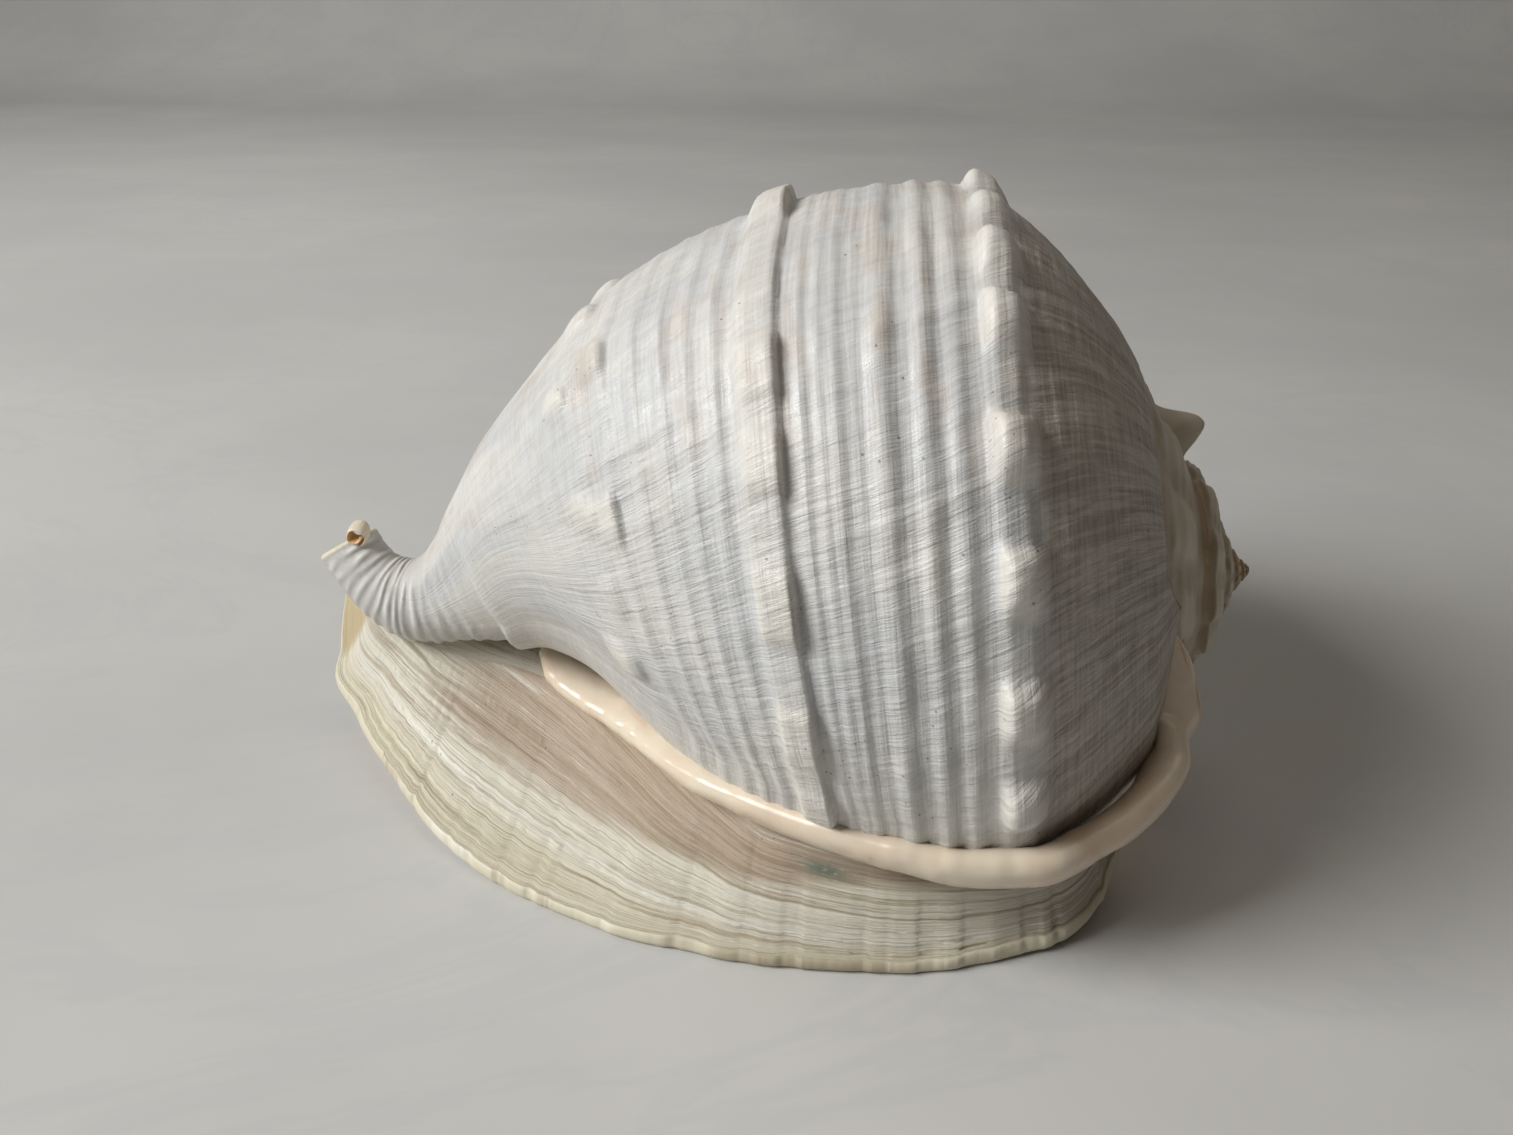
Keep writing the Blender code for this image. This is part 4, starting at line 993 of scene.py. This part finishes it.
height = sums(tree, "ADD", grain.outputs["Height"], sums(tree, "MULTIPLY", stripe, 1.2))
height = mixed(tree, under, height, (0.8, 0.8, 0.8, 1))
finish_shader(tree, shader, base, rough, height, 0.9, 0.0007)
shield.data.materials.append(shield_callus)

# %% [markdown]
# ## Lip and band
# Both are fresh callus, smooth and glossy. The lip has teeth of cream with dark brown between them. The
# band is peach, with a few thin brown cracks along its lower edge.

# %% Lip material
lip_callus, tree, shader = new_material("lip_callus")
place_mm = measure(tree, "growth")
grain = use_group(tree, lines_group, {"Place": place_mm, "Line Stretch": (0.5, 0.03, 0.0),
                                      "Thread Stretch": (0.05, 0.3, 0.0)})
cloudy = ranged(tree, noise(tree, stretched(tree, place_mm, (0.03, 0.05, 0.0)), 3.0), 0.4, 0.65)
base = mixed(tree, cloudy, (0.80, 0.70, 0.58, 1), (0.78, 0.62, 0.47, 1))
base = mixed(tree, ranged(tree, grain.outputs["Tone"], 0, 1, 0.15, 0), base, (0.60, 0.45, 0.32, 1))
base = mixed(tree, ranged(tree, measure(tree, "between", "Fac"), 0.45, 0.9, 0, 0.92), base, (0.10, 0.045, 0.025, 1))
rough = ranged(tree, cloudy, 0, 1, 0.24, 0.34)
finish_shader(tree, shader, base, rough, grain.outputs["Height"], 0.2)
lip.data.materials.append(lip_callus)

# %% Band material
band_callus, tree, shader = new_material("band_callus")
place_mm = measure(tree, "growth")
grain = use_group(tree, lines_group, {"Place": place_mm, "Line Stretch": (0.6, 0.02, 0.0),
                                      "Thread Stretch": (0.1, 0.2, 0.0)})
cloudy = ranged(tree, noise(tree, stretched(tree, place_mm, (0.08, 0.04, 0.0)), 3.0), 0.4, 0.65)
base = mixed(tree, cloudy, (0.79, 0.69, 0.55, 1), (0.75, 0.60, 0.46, 1))
crack = noise(tree, stretched(tree, place_mm, (0.55, 0.03, 0.0)), 4.0, 0.6)
edge = ranged(tree, measure(tree, "edge", "Fac"), 0.5, 0.95)
line = sums(tree, "MULTIPLY", ranged(tree, crack, 0.53, 0.58, 0, 0.85), edge)
base = mixed(tree, line, base, (0.42, 0.24, 0.12, 1))
rough = ranged(tree, cloudy, 0, 1, 0.2, 0.3)
finish_shader(tree, shader, base, rough, grain.outputs["Height"], 0.12)
band.data.materials.append(band_callus)

# %% [markdown]
# ## Table, light and camera
# The shell lies on a plain pale table top that turns up into a wall far behind it. One large soft light
# stands on the left and above, as a window would, and the rest of the room gives little, so that the slope
# behind the shoulder lies in shade. The camera looks down at 27.5 degrees, from a little to the right of
# square on. Seen from below, the table lets the view through, and a lamp under it shines up through the
# shell's own footprint only, so that the underside can be looked at and nothing changes seen from above.

# %% Table
pale_table, tree, shader = new_material("pale_table")
place_m = add(tree, "ShaderNodeTexCoord").outputs["Object"]
cloud = ranged(tree, noise(tree, stretched(tree, place_m, (2.2, 3.0, 3.0)), 5.0, 0.6), 0.35, 0.7)
vein = noise(tree, stretched(tree, place_m, (3.5, 6.0, 3.0)), 6.0, 0.65, 1.5)
vein = ranged(tree, sums(tree, "ABSOLUTE", sums(tree, "SUBTRACT", vein, 0.5), 0.0), 0.0, 0.035, 0.35, 0)
stone = mixed(tree, cloud, (0.56, 0.56, 0.55, 1), (0.64, 0.635, 0.62, 1))
stone = mixed(tree, vein, stone, (0.55, 0.56, 0.58, 1))
tree.links.new(stone, shader.inputs["Base Color"])
shader.inputs["Roughness"].default_value = 0.38
clear = add(tree, "ShaderNodeBsdfTransparent")
behind = add(tree, "ShaderNodeNewGeometry").outputs["Backfacing"]
moved = add(tree, "ShaderNodeVectorMath", {0: place_m, 1: (0.01, 0, 0)}, operation="SUBTRACT").outputs[0]
from_centre = add(tree, "ShaderNodeVectorMath", {0: stretched(tree, moved, (8.6, 10.7, 0.0))}, operation="LENGTH")
footprint = ranged(tree, from_centre.outputs["Value"], 0.86, 1.0, 1, 0)
unseen = sums(tree, "SUBTRACT", 1.0, add(tree, "ShaderNodeLightPath").outputs["Is Camera Ray"])
behind = sums(tree, "MAXIMUM", behind, sums(tree, "MULTIPLY", footprint, unseen))
both = add(tree, "ShaderNodeMixShader", {0: behind, 1: shader.outputs[0], 2: clear.outputs[0]})
tree.links.new(both.outputs[0], tree.nodes["Material Output"].inputs["Surface"])

turn = np.radians(np.linspace(0, 90, 9))
profile = np.concatenate([[[-3.0, 0.0]], np.stack([1.9 + 0.5 * np.sin(turn), 0.5 - 0.5 * np.cos(turn)], -1), [[2.4, 3.0]]])
across = np.array([-3.5, 3.5])
count = len(profile)
sweep = np.stack(np.broadcast_arrays(across[:, None], profile[None, :, 0], profile[None, :, 1]), axis=-1)
backdrop = bpy.data.meshes.new("table_top")
strips = [[n, n + count, n + count + 1, n + 1] for n in range(count - 1)]
backdrop.from_pydata(sweep.reshape(-1, 3).tolist(), [], strips)
backdrop.shade_smooth()
table_top = bpy.data.objects.new("table_top", backdrop)
bpy.context.scene.collection.objects.link(table_top)
backdrop.materials.append(pale_table)
print("table faces upwards:", backdrop.polygons[0].normal.z > 0)

# %% Light


def soft_light(name, where, aim, size, power, colour):
    lamp = bpy.data.lights.new(name, "AREA")
    lamp.shape = "RECTANGLE"
    lamp.size, lamp.size_y = size
    lamp.energy = power
    lamp.color = colour
    thing = bpy.data.objects.new(name, lamp)
    thing.location = where
    thing.rotation_mode = "QUATERNION"
    thing.rotation_quaternion = (Vector(aim) - Vector(where)).to_track_quat("-Z", "Y")
    bpy.context.scene.collection.objects.link(thing)
    return thing


soft_light("window", (-1.95, -0.65, 1.6), (0, 0, 0.06), (1.3, 1.3), 70, (1.0, 1.0, 0.985))
soft_light("ceiling", (0.3, 0.3, 2.4), (0, 0, 0.0), (1.6, 1.2), 6, (1.0, 0.9, 0.78))
soft_light("under_table", (0, -0.15, -0.9), (0, 0, 0.0), (1.2, 1.2), 4, (1.0, 0.97, 0.93))
world = bpy.data.worlds.new("room")
world.use_nodes = True
world.node_tree.nodes["Background"].inputs["Color"].default_value = (1.0, 0.88, 0.76, 1)
world.node_tree.nodes["Background"].inputs["Strength"].default_value = 0.06
bpy.context.scene.world = world
bpy.context.scene.view_settings.view_transform = "Standard"

# %% Camera
eye = (np.array([28.5, -271.5, 200.0]) + ORIGIN) * SIZE
pitch, yaw = np.radians(27.5), np.radians(6.0)
gaze = Vector((-np.sin(yaw) * np.cos(pitch), np.cos(yaw) * np.cos(pitch), -np.sin(pitch)))
lens = bpy.data.cameras.new("camera")
lens.sensor_width = 36
lens.lens = 36 * 1136 / 1513
lens.clip_start = 0.001
camera = bpy.data.objects.new("camera", lens)
camera.location = eye
camera.rotation_mode = "QUATERNION"
camera.rotation_quaternion = gaze.to_track_quat("-Z", "Y")
bpy.context.scene.collection.objects.link(camera)
bpy.context.scene.camera = camera
